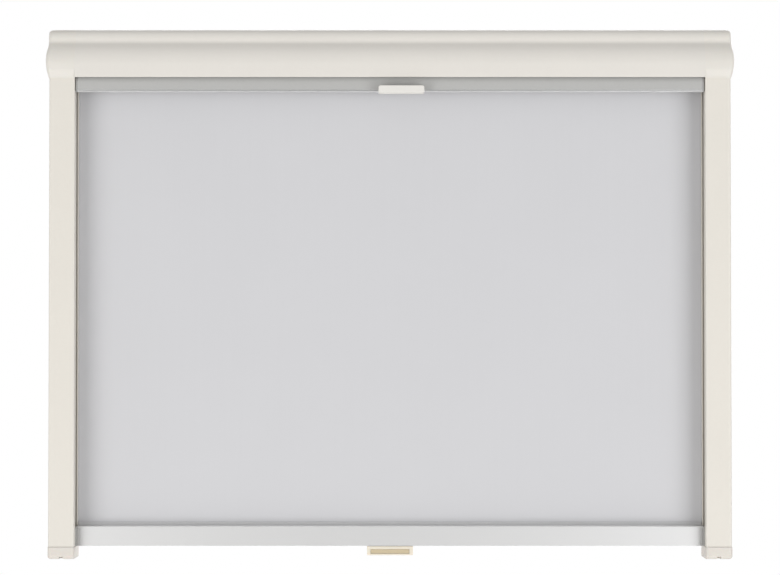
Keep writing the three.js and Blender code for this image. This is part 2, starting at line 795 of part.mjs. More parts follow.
// A block with rounded front corners and a rounded lower edge, notched under its front.
function railFoot(side) {
  const lifts = [footEdgeRadius, footFrontEdgeRadius, footInnerEdgeRadius].flatMap((radius) => {
    const angles = Array.from({ length: arcSegments }, (_, i) => (Math.PI / 2) * ((i + 1) / arcSegments));
    return angles.map((angle) => radius * (1 - Math.cos(angle)));
  });
  const heights = [0, ...lifts].sort((a, b) => a - b).map((lift) => footBottom + lift);
  const rings = [...heights, footTop].map((height) => footRing(side, height));
  const outer = atReach(side, -footSideReach);
  const inner = atReach(side, railFaceWidth + footInnerReach);
  const middle = (outer + inner) / 2;
  const notch = block(
    [middle - footNotchWidth / 2, middle + footNotchWidth / 2],
    [railDepth + footFrontReach + cutOverrun, railDepth - footNotchDepth],
    [footBottom - cutOverrun, footBottom + footNotchHeight],
  );
  const spigot = chamberSpigot(side, [footTop - seamGap, footTop + spigotLength]);
  const screenStop = block(
    [atReach(side, railWall + slideGap), atReach(side, railFaceWidth - railWall - slideGap)],
    [dividerWebFront + slideGap, faceBack - slideGap],
    [footTop - seamGap, footTop + screenStopHeight],
  );
  return join(cut(loft(rings), notch), spigot, screenStop);
}

// Cloths: flat sheets from their rollers down to the bars that they are held in

function blackoutCloth() {
  const depths = [blackoutPlane - blackoutThickness / 2, blackoutPlane + blackoutThickness / 2];
  const bottom = blackoutHemHeight + hemRodRadius + seamGap;
  return block([-blackoutHalfWidth, blackoutHalfWidth], depths, [bottom, blackoutRoller.height]);
}

function screenMesh() {
  const depths = [screenPlane - screenThickness / 2, screenPlane + screenThickness / 2];
  const bottom = screenHemHeight + hemRodRadius + seamGap;
  return block([-screenHalfWidth, screenHalfWidth], depths, [bottom, screenRoller.height]);
}

// Rollers, each made about the x axis and placed at its own depth and height

function rollerTube() {
  return sleeve([tubeRadius - tubeWall, tubeRadius], [-halfTube, halfTube]);
}

function clothRoll(radius, halfWidth) {
  return sleeve([tubeRadius + runningGap, radius], [-halfWidth, halfWidth]);
}

const plugFlangeFace = halfTube + seamGap;
const plugEnd = plugFlangeFace + plugFlange;
const plugBodyRadius = tubeRadius - tubeWall - runningGap;

// The left end plug turns with the tube on the fixed arbor.
function springPlug() {
  const bore = arborRadius + runningGap;
  return turned([
    [-plugEnd, bore],
    [-plugEnd, tubeRadius],
    [-plugFlangeFace, tubeRadius],
    [-plugFlangeFace, plugBodyRadius],
    [-halfTube + plugLength, plugBodyRadius],
    [-halfTube + plugLength, bore],
    [-plugEnd, bore],
  ]);
}

// The right end plug carries the pin that turns in the cap's bearing.
function idlePlug() {
  const pinEnd = halfFrame - bossInset + bossDepth - seamGap;
  return turned([
    [halfTube - plugLength, 0],
    [halfTube - plugLength, plugBodyRadius],
    [plugFlangeFace, plugBodyRadius],
    [plugFlangeFace, tubeRadius],
    [plugEnd, tubeRadius],
    [plugEnd, idlePinRadius],
    [pinEnd, idlePinRadius],
    [pinEnd, 0],
  ]);
}

// The arbor stands still in the left cap, and its collar holds the spring's far end.
const arborOuterEnd = halfFrame - bossInset + bossDepth - seamGap;
const arborInnerEnd = arborOuterEnd - arborLength;

function springArbor() {
  const collarFace = arborInnerEnd + arborCollarLength;
  return turned([
    [-arborOuterEnd, 0],
    [-arborOuterEnd, arborRadius],
    [-collarFace, arborRadius],
    [-collarFace, arborCollarRadius],
    [-arborInnerEnd, arborCollarRadius],
    [-arborInnerEnd, 0],
  ]);
}

// The wound spring round the arbor, as a ridged sleeve between the plug and the collar.
function torsionSpring() {
  const start = -halfTube + plugLength + seamGap;
  const end = -(arborInnerEnd + arborCollarLength) - seamGap;
  const pitch = (end - start) / springRidges;
  const profile = [[start, springBoreRadius]];
  for (let i = 0; i < springRidges; i += 1) {
    const ridge = start + i * pitch;
    profile.push([ridge, springRadius - springRidgeHeight]);
    profile.push([ridge + pitch / 2, springRadius]);
  }
  profile.push([end, springRadius - springRidgeHeight]);
  profile.push([end, springBoreRadius]);
  profile.push([start, springBoreRadius]);
  return turned(profile);
}

function idleBearing() {
  const face = halfFrame - bossInset;
  return sleeve([idlePinRadius + runningGap, bearingRadius], [face, face + bossDepth - seamGap]);
}

function rollerParts(name, roller, roll) {
  const place = [0, -roller.depth, roller.height];
  return [
    part(name + "_roller_tube", millAluminium, rollerTube(), place),
    part(name + "_spring_plug", naturalNylon, springPlug(), place),
    part(name + "_idle_plug", naturalNylon, idlePlug(), place),
    part(name + "_spring_arbor", springSteel, springArbor(), place),
    part(name + "_torsion_spring", springSteel, torsionSpring(), place),
    part(name + "_idle_bearing", greyPlastic, idleBearing(), place),
    part(name + roll.word, roll.material, clothRoll(roll.radius, roll.halfWidth), place),
  ];
}

// Blackout pull bar

// Cuts a keyhole, a slot above a round bore, into the upper edge of a shape's path.
function keyhole(shape, depth, top, boreHeight, slotWidth) {
  const halfSlot = slotWidth / 2;
  const turn = Math.asin(halfSlot / hemBoreRadius);
  const shoulder = boreHeight + hemBoreRadius * Math.cos(turn);
  shape.lineTo(depth + halfSlot, top);
  shape.lineTo(depth + halfSlot, shoulder);
  const from = Math.PI / 2 - turn;
  const to = Math.PI / 2 + turn;
  shape.absarc(depth, boreHeight, hemBoreRadius, from, to, true);
  shape.lineTo(depth - halfSlot, shoulder);
  shape.lineTo(depth - halfSlot, top);
}

const blackoutHemSlot = blackoutThickness + 2 * seamGap;
const screenHemSlot = screenThickness + 2 * seamGap;

// The bar's section: the hem's lip behind the rails' beads and the box in front of them.
function blackoutBarShape() {
  const webTop = blackoutHemBottom + hemWebHeight;
  const front = blackoutBarFront;
  const bottom = blackoutBarBottom;
  const top = blackoutBarTop;
  const shape = new THREE.Shape();
  shape.moveTo(blackoutBarBack, webTop);
  shape.lineTo(blackoutPlane + hemLipHalf, webTop);
  shape.lineTo(blackoutPlane + hemLipHalf, hemLipTop);
  keyhole(shape, blackoutPlane, hemLipTop, blackoutHemHeight, blackoutHemSlot);
  shape.lineTo(blackoutPlane - hemLipHalf, hemLipTop);
  shape.lineTo(blackoutPlane - hemLipHalf, blackoutHemBottom);
  shape.lineTo(blackoutBarBack, blackoutHemBottom);
  shape.lineTo(blackoutBarBack, bottom);
  shape.lineTo(front - barBottomRadius, bottom);
  shape.quadraticCurveTo(front, bottom, front, bottom + barBottomRadius);
  shape.lineTo(front, top - barTopRadius);
  shape.quadraticCurveTo(front, top, front - barTopRadius, top);
  shape.lineTo(blackoutBarBack, top);
  shape.closePath();
  return shape;
}

function blackoutCavity([xA, xB], gap) {
  const depths = [blackoutCavityBack + gap, blackoutCavityFront - gap];
  const heights = [blackoutBarBottom + barWall + gap, blackoutBarTop - barWall - gap];
  return block([xA, xB], depths, heights);
}

const stemFront = blackoutBarFront + gripProud - buttonRecess - buttonThickness + stemOverlap;
const stemBack = stemFront - stemThickness;

// The slot that the button's stem passes through, with room for its travel.
function stemSlot(heights) {
  const half = stemWidth / 2 + stemGap;
  return block([-half, half], [stemFront + stemGap, stemBack - buttonTravel - stemGap], heights);
}

function blackoutPullBar() {
  const end = barHalfLength - barPlugWidth - seamGap;
  const bar = acrossX(blackoutBarShape(), [-end, end]);
  const cavity = blackoutCavity([-end - cutOverrun, end + cutOverrun], 0);
  const slot = stemSlot([blackoutBarBottom - cutOverrun, blackoutBarBottom + barWall + cutOverrun]);
  return cut(bar, cavity, slot);
}

// The end plug carries on the bar's section, and its shoe is held in the rail's rear channel.
function blackoutBarPlug(side) {
  const inner = side * (barHalfLength - barPlugWidth);
  const visible = acrossX(blackoutBarShape(), [inner, side * barHalfLength]);
  const lipEnds = [side * hemLipHalfLength, side * (barHalfLength + cutOverrun)];
  const behindBead = block(
    lipEnds,
    [blackoutBarBack, blackoutSlotBack - cutOverrun],
    [blackoutHemBottom - cutOverrun, hemLipTop + cutOverrun],
  );
  const boreCore = roundBar(
    hemBoreRadius + hemLipWall / 2,
    [inner, side * barHalfLength],
    blackoutPlane,
    blackoutHemHeight,
  );
  const tenonEnds = [inner - side * tenonLength, inner + side * cutOverrun];
  const tenon = blackoutCavity(tenonEnds, seamGap);
  const heights = [blackoutBarBottom, blackoutBarTop - shoeDrop];
  const neck = block(
    [side * (barHalfLength - cutOverrun), atReach(side, shoeReach)],
    [blackoutBarBack, blackoutBarFront],
    heights,
  );
  const shoe = block(
    [atReach(side, shoeReach), atReach(side, shoeInset)],
    [finFront + slideGap, dividerWebBack - slideGap],
    heights,
  );
  const rodHole = roundBar(rodHoleRadius, [0, side * halfFrame], rodDepth, rodHeight);
  const body = join(visible, boreCore, tenon, neck, shoe);
  return cut(body, behindBead, clothSlotInPlug(side), rodHole);
}

// The hem's slot in the end plug, which lets the cloth's edge run on into the rail.
function clothSlotInPlug(side) {
  const across = [side * (barHalfLength - barPlugWidth - cutOverrun), side * halfFrame];
  const half = blackoutHemSlot / 2;
  const bottom = blackoutHemHeight + hemRodRadius;
  return block(across, [blackoutPlane - half, blackoutPlane + half], [bottom, hemLipTop + cutOverrun]);
}

function hemRod(depth, height, halfLength) {
  return roundBar(hemRodRadius, [-halfLength, halfLength], depth, height);
}

// Grip, button and brake

const gripTop = blackoutBarBottom - seamGap;
const gripBottom = gripTop - gripHeight;
const gripFront = blackoutBarFront + gripProud;
const gripBack = blackoutBarBack + gripSetback;
const pocketTop = gripTop - gripTopWall;
const pocketBottom = gripBottom + gripLip;
const pocketHalf = gripWidth / 2 - gripSideWall;
const buttonFace = gripFront - buttonRecess;

// The finger grip under the bar, with a pocket that the release button lies in.
function blackoutGrip() {
  const round = gripCornerRadius;
  const shape = new THREE.Shape();
  shape.moveTo(gripBack, gripTop);
  shape.lineTo(gripFront, gripTop);
  shape.lineTo(gripFront, gripBottom + round);
  shape.quadraticCurveTo(gripFront, gripBottom, gripFront - round, gripBottom);
  shape.lineTo(gripBack + round, gripBottom);
  shape.quadraticCurveTo(gripBack, gripBottom, gripBack, gripBottom + round);
  shape.closePath();
  const body = acrossX(shape, [-gripWidth / 2, gripWidth / 2]);
  const pocket = block(
    [-pocketHalf, pocketHalf],
    [gripBack + gripBackWall, gripFront + cutOverrun],
    [pocketBottom, pocketTop],
  );
  return cut(body, pocket, stemSlot([pocketTop - cutOverrun, gripTop + cutOverrun]));
}

const forkBottom = blackoutBarBottom + barWall + seamGap + slideGap;
const forkFront = stemFront;
const forkBack = forkFront - forkThickness;

// One arm of the fork in plan, with its inner face at 45 degrees.
function forkArm(side) {
  const arm = [
    [side * forkMouth, -forkFront],
    [side * (forkMouth + forkThickness), -forkBack],
    [side * forkHalfWidth, -forkBack],
    [side * forkHalfWidth, -forkFront],
  ];
  return upZ(shapeOf(arm), [forkBottom, forkBottom + forkBridgeHeight + forkArmHeight]);
}

// The button: a plate in the grip's pocket, a stem up into the bar and a fork on top of it.
function releaseButton() {
  const plate = block(
    [-pocketHalf + buttonGap, pocketHalf - buttonGap],
    [buttonFace - buttonThickness, buttonFace],
    [pocketBottom + buttonGap, pocketTop - buttonGap],
  );
  const stem = block(
    [-stemWidth / 2, stemWidth / 2],
    [stemBack, stemFront],
    [pocketBottom + buttonGap, forkBottom + forkBridgeHeight],
  );
  const bridge = block(
    [-forkHalfWidth, forkHalfWidth],
    [forkBack, forkFront],
    [forkBottom, forkBottom + forkBridgeHeight],
  );
  return join(plate, stem, bridge, forkArm(-1), forkArm(1));
}

// A brake rod with the wedge that the fork draws inwards.
function brakeRod(side) {
  const back = blackoutCavityBack + wedgeSideGap;
  const front = forkFront;
  const mouth = forkMouth - wedgeGap;
  const wedge = [
    [side * wedgeInner, -front],
    [side * wedgeInner, -back],
    [side * (mouth + front - back), -back],
    [side * mouth, -front],
  ];
  const bottom = forkBottom + forkBridgeHeight + seamGap;
  const solid = upZ(shapeOf(wedge), [bottom, rodHeight + rodRadius]);
  const end = side * (padInner + padBore - seamGap);
  return join(solid, roundBar(rodRadius, [side * (wedgeInner + rodRadius), end], rodDepth, rodHeight));
}

const padOuter = halfFrame - railWall - seamGap;
const padInner = padOuter - padThickness;

// The rubber pad that the rod presses on the rail's outer wall.
function brakePad(side) {
  const pad = block(
    [side * padInner, side * padOuter],
    [rodDepth - padDepth / 2, rodDepth + padDepth / 2],
    [rodHeight - padHeight / 2, rodHeight + padHeight / 2],
  );
  const boreEnds = [side * (padInner - cutOverrun), side * (padInner + padBore)];
  return cut(pad, roundBar(rodRadius + seamGap, boreEnds, rodDepth, rodHeight));
}

function brakeReturnSpring() {
  const radius = (blackoutCavityFront - blackoutCavityBack) * returnSpringShare;
  const half = wedgeInner - seamGap;
  return sleeve([radius - returnSpringWall, radius], [-half, half]);
}

// Fly screen pull bar

// Where the face curves back to pass behind the cassette: further with the square of the height.
function rebatePoints() {
  const bottom = screenBarTop - screenRebateHeight - screenRebateRise;
  return Array.from({ length: arcSegments + 1 }, (_, i) => {
    const share = i / arcSegments;
    return [screenBarFront - screenRebateDepth * share ** 2, bottom + screenRebateRise * share];
  });
}

function screenBarShape() {
  const shape = new THREE.Shape();
  const lipFront = screenBarFront + screenBarLipRise;
  const lipTop = screenBarBottom + screenBarLipHeight;
  shape.moveTo(screenBarBack, screenBarBottom);
  shape.lineTo(lipFront - barBottomRadius, screenBarBottom);
  shape.quadraticCurveTo(
    lipFront,
    screenBarBottom,
    lipFront,
    screenBarBottom + barBottomRadius,
  );
  shape.lineTo(lipFront, lipTop - screenBarLipSlope);
  shape.lineTo(screenBarFront, lipTop);
  rebatePoints().forEach(([depth, height]) => shape.lineTo(depth, height));
  shape.lineTo(screenBarFront - screenRebateDepth, screenBarTop);
  keyhole(shape, screenPlane, screenBarTop, screenHemHeight, screenHemSlot);
  shape.lineTo(screenBarBack, screenBarTop);
  shape.closePath();
  return shape;
}

function screenCavity([xA, xB], gap) {
  const depths = [screenBarBack + barWall + gap, screenBarFront - barWall - gap];
  const top = screenBarTop - screenRebateHeight - screenRebateRise / 2 - gap;
  return block([xA, xB], depths, [screenBarBottom + barWall + gap, top]);
}

function screenPullBar() {
  const end = barHalfLength - barPlugWidth - seamGap;
  const bar = acrossX(screenBarShape(), [-end, end]);
  return cut(bar, screenCavity([-end - cutOverrun, end + cutOverrun], 0));
}

// The end plug closes the bar, and a thin tongue joins it to the shoe in the rail's front channel.
function screenBarPlug(side) {
  const inner = side * (barHalfLength - barPlugWidth);
  const visible = acrossX(screenBarShape(), [inner, side * barHalfLength]);
  const tenonEnds = [inner - side * tenonLength, inner + side * cutOverrun];
  const tenon = screenCavity(tenonEnds, seamGap);
  const bottom = screenBarBottom + screenShoeLift;
  const heights = [bottom, bottom + screenShoeHeight];
  const tongue = block(
    [side * (barHalfLength - cutOverrun), atReach(side, screenShoeReach)],
    [screenPlane - screenTongue / 2, screenPlane + screenTongue / 2],
    heights,
  );
  const shoe = block(
    [atReach(side, screenShoeReach), atReach(side, screenShoeInset)],
    [dividerWebFront + slideGap, faceBack - slideGap],
    heights,
  );
  return join(visible, tenon, tongue, shoe);
}

// The white grip: a cup, open below and behind, clipped on the front of the fly screen bar.
function screenHandle() {
  const left = handleOffset - handleWidth / 2;
  const right = handleOffset + handleWidth / 2;
  const bottom = screenBarBottom - handleDrop;
  const top = bottom + handleHeight;
  const back = screenBarFront + screenBarLipRise + seamGap;
  const front = back + handleDepth;
  const round = handleCornerRadius;
  const face = new THREE.Shape();
  face.moveTo(left, bottom);
  face.lineTo(right, bottom);
  face.lineTo(right, top - round);
  face.quadraticCurveTo(right, top, right - round, top);
  face.lineTo(left + round, top);
  face.quadraticCurveTo(left, top, left, top - round);
  face.closePath();
  const settings = { depth: front - back, bevelEnabled: false, curveSegments: arcSegments };
  const body = new THREE.ExtrudeGeometry(face, settings).rotateX(Math.PI / 2).translate(0, -back, 0);
  const hollow = block(
    [left + handleWall, right - handleWall],
    [back + handleWall, front - handleWall],
    [bottom - cutOverrun, top - handleWall],
  );
  return cut(body, hollow);
}

// The whole blind

function cassetteParts() {
  return [
    part("cassette_cover", creamPaint, cassetteCover()),
    part("cassette_back_plate", zincSteel, cassetteBackPlate()),
    ...sides.map(({ side, word }) => part("end_cap_" + word, creamPlastic, endCap(side))),
    ...screwPlaces().map(({ word, x, height }) =>
      part("cap_screw_" + word, zincSteel, capScrew(), [x, 0, height]),
    ),
  ];
}

function railParts() {
  return sides.flatMap(({ side, word }) => [
    part("side_rail_" + word, creamPaint, sideRail(side)),
    part("rail_foot_" + word, creamPlastic, railFoot(side)),
    part("blackout_pile_seal_" + word, greyPile, pileSeal(side)),
  ]);
}

function blackoutBarParts() {
  const hemHalfLength = barHalfLength - barPlugWidth - seamGap;
  const springPlace = [0, -rodDepth, forkBottom + forkBridgeHeight + forkArmHeight];
  return [
    part("blackout_pull_bar", silverAluminium, blackoutPullBar()),
    part("blackout_hem_rod", naturalNylon, hemRod(blackoutPlane, blackoutHemHeight, hemHalfLength)),
    part("blackout_grip", creamPlastic, blackoutGrip()),
    part("release_button", beigePlastic, releaseButton()),
    part("brake_return_spring", springSteel, brakeReturnSpring(), springPlace),
    ...sides.flatMap(({ side, word }) => [
      part("blackout_bar_plug_" + word, greyPlastic, blackoutBarPlug(side)),
      part("brake_rod_" + word, zincSteel, brakeRod(side)),
      part("brake_pad_" + word, blackRubber, brakePad(side)),
    ]),
  ];
}

function screenBarParts() {
  const hemHalfLength = barHalfLength - barPlugWidth - seamGap;
  return [
    part("screen_pull_bar", silverAluminium, screenPullBar()),
    part("screen_hem_rod", naturalNylon, hemRod(screenPlane, screenHemHeight, hemHalfLength)),
    part("screen_handle", whitePlastic, screenHandle()),
    ...sides.map(({ side, word }) => part("screen_bar_plug_" + word, greyPlastic, screenBarPlug(side))),
  ];
}

const blackoutRoll = {
  word: "_cloth_roll",
  material: silverCloth,
  radius: blackoutRollRadius,
  halfWidth: blackoutHalfWidth,
};
const screenRoll = {
  word: "_mesh_roll",
  material: greyMesh,
  radius: screenRollRadius,
  halfWidth: screenHalfWidth,
};

const blind = group(
  group(cassetteParts()),
  group(railParts()),
  group(rollerParts("blackout", blackoutRoller, blackoutRoll)),
  group(rollerParts("screen", screenRoller, screenRoll)),
  group(blackoutBarParts(), part("blackout_cloth", silverCloth, blackoutCloth())),
  group(screenBarParts(), part("fly_screen_mesh", greyMesh, screenMesh())),
);
blind.name = "day_and_night_roller_blind";

export default blind;
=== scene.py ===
"""Looks of a day and night roller blind for a caravan window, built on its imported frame.

The frame holds every rigid piece at its real size. This script gives each one its finish, and
builds anew what the frame only outlines: the painted extrusions, the moulded end caps, the two
cloths, their wound turns and the springs. Lengths are in metres. +Z is up, +X is to the right as
seen from the room, and the room lies towards -Y, so a depth from the wall is -y.
"""

import logging
import math
from collections.abc import Sequence
from dataclasses import dataclass
from enum import Enum

import bmesh
import bpy
import numpy as np
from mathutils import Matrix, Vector
from mathutils.geometry import tessellate_polygon


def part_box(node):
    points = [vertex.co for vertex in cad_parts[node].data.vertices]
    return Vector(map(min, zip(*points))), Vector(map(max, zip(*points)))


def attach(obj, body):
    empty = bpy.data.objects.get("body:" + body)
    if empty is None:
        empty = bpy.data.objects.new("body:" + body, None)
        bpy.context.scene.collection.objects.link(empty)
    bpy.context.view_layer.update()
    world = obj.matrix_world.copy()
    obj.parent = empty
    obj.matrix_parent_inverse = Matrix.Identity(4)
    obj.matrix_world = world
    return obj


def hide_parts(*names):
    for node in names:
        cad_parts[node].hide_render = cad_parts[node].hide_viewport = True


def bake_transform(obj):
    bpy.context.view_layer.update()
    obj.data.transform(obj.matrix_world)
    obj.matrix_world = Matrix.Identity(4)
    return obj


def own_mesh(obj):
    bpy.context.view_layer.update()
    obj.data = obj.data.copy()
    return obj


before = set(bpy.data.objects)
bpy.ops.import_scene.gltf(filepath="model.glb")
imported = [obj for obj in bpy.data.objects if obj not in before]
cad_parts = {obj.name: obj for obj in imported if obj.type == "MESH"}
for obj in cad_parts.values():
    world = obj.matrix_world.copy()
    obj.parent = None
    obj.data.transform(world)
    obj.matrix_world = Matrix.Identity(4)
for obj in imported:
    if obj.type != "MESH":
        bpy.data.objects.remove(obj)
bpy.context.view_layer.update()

Array = np.ndarray
Colour = tuple[float, float, float]
Point = tuple[float, float, float]
Span = tuple[float, float]
Piece = bpy.types.Object
Socket = bpy.types.NodeSocket
log = logging.getLogger("roller_blind")


class Axis(Enum):
    """The axis that a profile is carried along. A profile lists the other two, in x, y, z order."""

    X = 0
    Y = 1
    Z = 2


class Side(Enum):
    """The blind's two sides, as seen from the room."""

    LEFT = -1
    RIGHT = 1

    @property
    def word(self) -> str:
        """The side's name, as the frame's nodes spell it."""
        return self.name.lower()


# Surfaces


@dataclass
class Surface:
    """Points and faces of one closed skin."""

    points: Array
    faces: list[tuple[int, ...]]


def listed(*parts: Array) -> list[tuple[int, ...]]:
    """Arrays of faces as the tuples that a mesh takes."""
    return [tuple(face) for part in parts for face in part.tolist()]


def grid_faces(levels: int, columns: int, wrap: bool) -> Array:
    """Quads between the neighbours of a grid: point (i, j) has the index i * columns + j.

    Args:
        levels: Number of rows of points.
        columns: Number of points in a row.
        wrap: Whether the last column joins the first.

    Returns:
        One row of four indices per quad.
    """
    i = np.arange(levels - 1)[:, None]
    j = np.arange(columns if wrap else columns - 1)[None, :]
    near, far = i * columns + j, i * columns + (j + 1) % columns
    return np.stack([near, far, far + columns, near + columns], axis=-1).reshape(-1, 4)


def rim_faces(line: Array, count: int) -> Array:
    """Quads that join a line of points to its copy, whose indices are higher by a count."""
    return np.stack([line[:-1], line[1:], line[1:] + count, line[:-1] + count], axis=1)


def carried(loops: Sequence[Array], axis: Axis, stations: Sequence[float]) -> Surface:
    """A profile carried straight along an axis: point (s, j) is the loop's point j at station s.

    Args:
        loops: The outline, then its holes, each as an array of two columns.
        axis: The direction of the path.
        stations: Places along the path, the two ends among them.

    Returns:
        The closed surface, its ends filled round the holes.
    """
    along = np.asarray(stations, float)
    sheets, faces, start = [], [], 0
    for loop in loops:
        count = len(loop)
        flat = np.broadcast_to(loop[None], (len(along), count, 2))
        reach = np.broadcast_to(along[:, None], (len(along), count))
        sheets.append(np.insert(flat, axis.value, reach, axis=-1).reshape(-1, 3))
        faces.append(grid_faces(len(along), count, True) + start)
        start += len(along) * count
    ends = tessellate_polygon([[Vector((a, b, 0.0)) for a, b in loop] for loop in loops])
    counts = np.array([len(loop) for loop in loops])
    owner = np.repeat(np.arange(len(loops)), counts)
    within = np.arange(counts.sum()) - np.repeat(np.cumsum(counts) - counts, counts)
    base = np.cumsum(np.insert(counts * len(along), 0, 0))[:-1]
    first = base[owner] + within
    last = first + (len(along) - 1) * counts[owner]
    triangles = np.array(ends)
    faces += [first[triangles], last[triangles][:, ::-1]]
    return Surface(np.concatenate(sheets), listed(*faces))


def wire(path: Array, normals: Array, radius: float, sides: int) -> Surface:
    """A round wire: point (i, j) is path i plus the radius times n cos a + b sin a, b = t x n.

    Args:
        path: The centreline.
        normals: A unit vector across the path at each of its points.
        radius: Radius of the wire.
        sides: Number of points round it.

    Returns:
        The wire, closed at both ends.
    """
    tangent = np.gradient(path, axis=0)
    tangent /= np.linalg.norm(tangent, axis=1, keepdims=True)
    binormal = np.cross(tangent, normals)
    angle = np.linspace(0, 2 * math.pi, sides, endpoint=False)[None, :, None]
    ring = normals[:, None] * np.cos(angle) + binormal[:, None] * np.sin(angle)
    points = (path[:, None] + radius * ring).reshape(-1, 3)
    tail = (len(path) - 1) * sides
    ends = np.array([range(sides), range(tail, tail + sides)])
    return Surface(points, listed(grid_faces(len(path), sides, True), ends))


def helix(node: str, radius: float, turns: int, steps: int, sides: int) -> Surface:
    """A coil spring along x: its centreline is (x0 + pitch t, R cos t, R sin t).

    Args:
        node: The node whose place the spring fills.
        radius: Radius of its wire.
        turns: Number of turns.
        steps: Number of points along one turn.
        sides: Number of points round the wire.

    Returns:
        The wound wire.
    """
    low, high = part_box(node)
    t = np.linspace(0, 2 * math.pi * turns, turns * steps + 1)
    x = low.x + radius + (high.x - low.x - 2 * radius) * t / t[-1]
    normals = np.stack([np.zeros_like(t), np.cos(t), np.sin(t)], axis=1)
    coil = (high.z - low.z) / 2 - radius
    centre = np.array([0.0, (low.y + high.y) / 2, (low.z + high.z) / 2])
    path = np.stack([x, coil * np.cos(t), coil * np.sin(t)], axis=1) + centre
    return wire(path, normals, radius, sides)


def arc(centre: Sequence[float], radius: float, start: float, end: float, steps: int) -> Array:
    """Points of an arc: the centre plus the radius times (cos t, sin t).

    Args:
        centre: Middle of the arc.
        radius: Its radius.
        start: The angle in degrees at which it starts.
        end: The angle at which it ends.
        steps: Number of chords.

    Returns:
        Its points, both ends among them.
    """
    t = np.radians(np.linspace(start, end, steps + 1))
    return np.stack([centre[0] + radius * np.cos(t), centre[1] + radius * np.sin(t)], axis=1)


def sines(start: float, end: float, count: int) -> Array:
    """Sines of evenly spaced angles, given in degrees."""
    return np.sin(np.radians(np.linspace(start, end, count)))


def ring(centre: Sequence[float], radius: float, steps: int = 40) -> Array:
    """Points of a whole circle, the first not repeated."""
    return arc(centre, radius, 0, 360, steps)[:-1]


def oblong(low: Sequence[float], high: Sequence[float], radius: float, steps: int = 4) -> Array:
    """A rectangle with rounded corners, counter-clockwise: four quarter arcs joined by lines.

    Args:
        low: The corner with the lower coordinates.
        high: The opposite corner.
        radius: Radius of the rounding.
        steps: Number of chords in each corner.

    Returns:
        The points of the outline.
    """
    (a0, b0), (a1, b1) = low, high
    corners = [
        ((a1 - radius, b0 + radius), -90),
        ((a1 - radius, b1 - radius), 0),
        ((a0 + radius, b1 - radius), 90),
        ((a0 + radius, b0 + radius), 180),
    ]
    return np.concatenate([arc(c, radius, t, t + 90, steps) for c, t in corners])


# Finishes

WAVE_NODE_FACTOR = 20  # The wave node repeats every 2 pi / 20 metres at a scale of 1.


def shade(colour: Colour, factor: float) -> Colour:
    """A colour made lighter or darker by a factor, and at most white."""
    return tuple(min(1.0, c * factor) for c in colour)


class Nodes:
    """A node tree, with one short method for each kind of node that the script uses."""

    def __init__(self, tree: bpy.types.NodeTree) -> None:
        """Works on a tree that a material or the world already has."""
        self.tree = tree

    def add(self, kind: str, settings: dict | None = None, **inputs: object) -> bpy.types.Node:
        """Adds a node, sets its options, and sets or links its inputs.

        Args:
            kind: The node's type.
            settings: Options of the node itself.
            inputs: Values or sockets by input name, with spaces as underscores.

        Returns:
            The node.
        """
        node = self.tree.nodes.new(kind)
        for key, value in (settings or {}).items():
            setattr(node, key, value)
        for key, value in inputs.items():
            self.feed(node.inputs[key.replace("_", " ")], value)
        return node

    def feed(self, socket: Socket, value: object) -> None:
        """Links a socket to another, or sets its value.

        Args:
            socket: The input to feed.
            value: A socket, or a value that the input takes.
        """
        if isinstance(value, Socket):
            self.tree.links.new(value, socket)
        else:
            socket.default_value = value

    def maths(self, operation: str, *values: object) -> Socket:
        """The result of a mathematical operation on values or sockets.

        Args:
            operation: The operation, as the maths node names it.
            values: Values or sockets, in order.

        Returns:
            The node's output.
        """
        node = self.add("ShaderNodeMath", {"operation": operation})
        for socket, value in zip(node.inputs, values):
            self.feed(socket, value)
        return node.outputs[0]

    def spread(self, value: object, low: float, high: float) -> Socket:
        """A value from 0 to 1 brought to between low and high."""
        return self.add("ShaderNodeMapRange", Value=value, To_Min=low, To_Max=high).outputs[0]

    def background_rays(self) -> Socket:
        """Tells the rays that show the background from those that only carry light from it.

        Returns:
            1 for straight, mirrored and refracted rays with no matt bounce before, 0 for others.
        """
        path = self.add("ShaderNodeLightPath").outputs
        mirrored = self.maths("MAXIMUM", path["Is Glossy Ray"], path["Is Transmission Ray"])
        seen = self.maths("MAXIMUM", path["Is Camera Ray"], mirrored)
        return self.maths("MULTIPLY", seen, self.maths("LESS_THAN", path["Diffuse Depth"], 0.5))


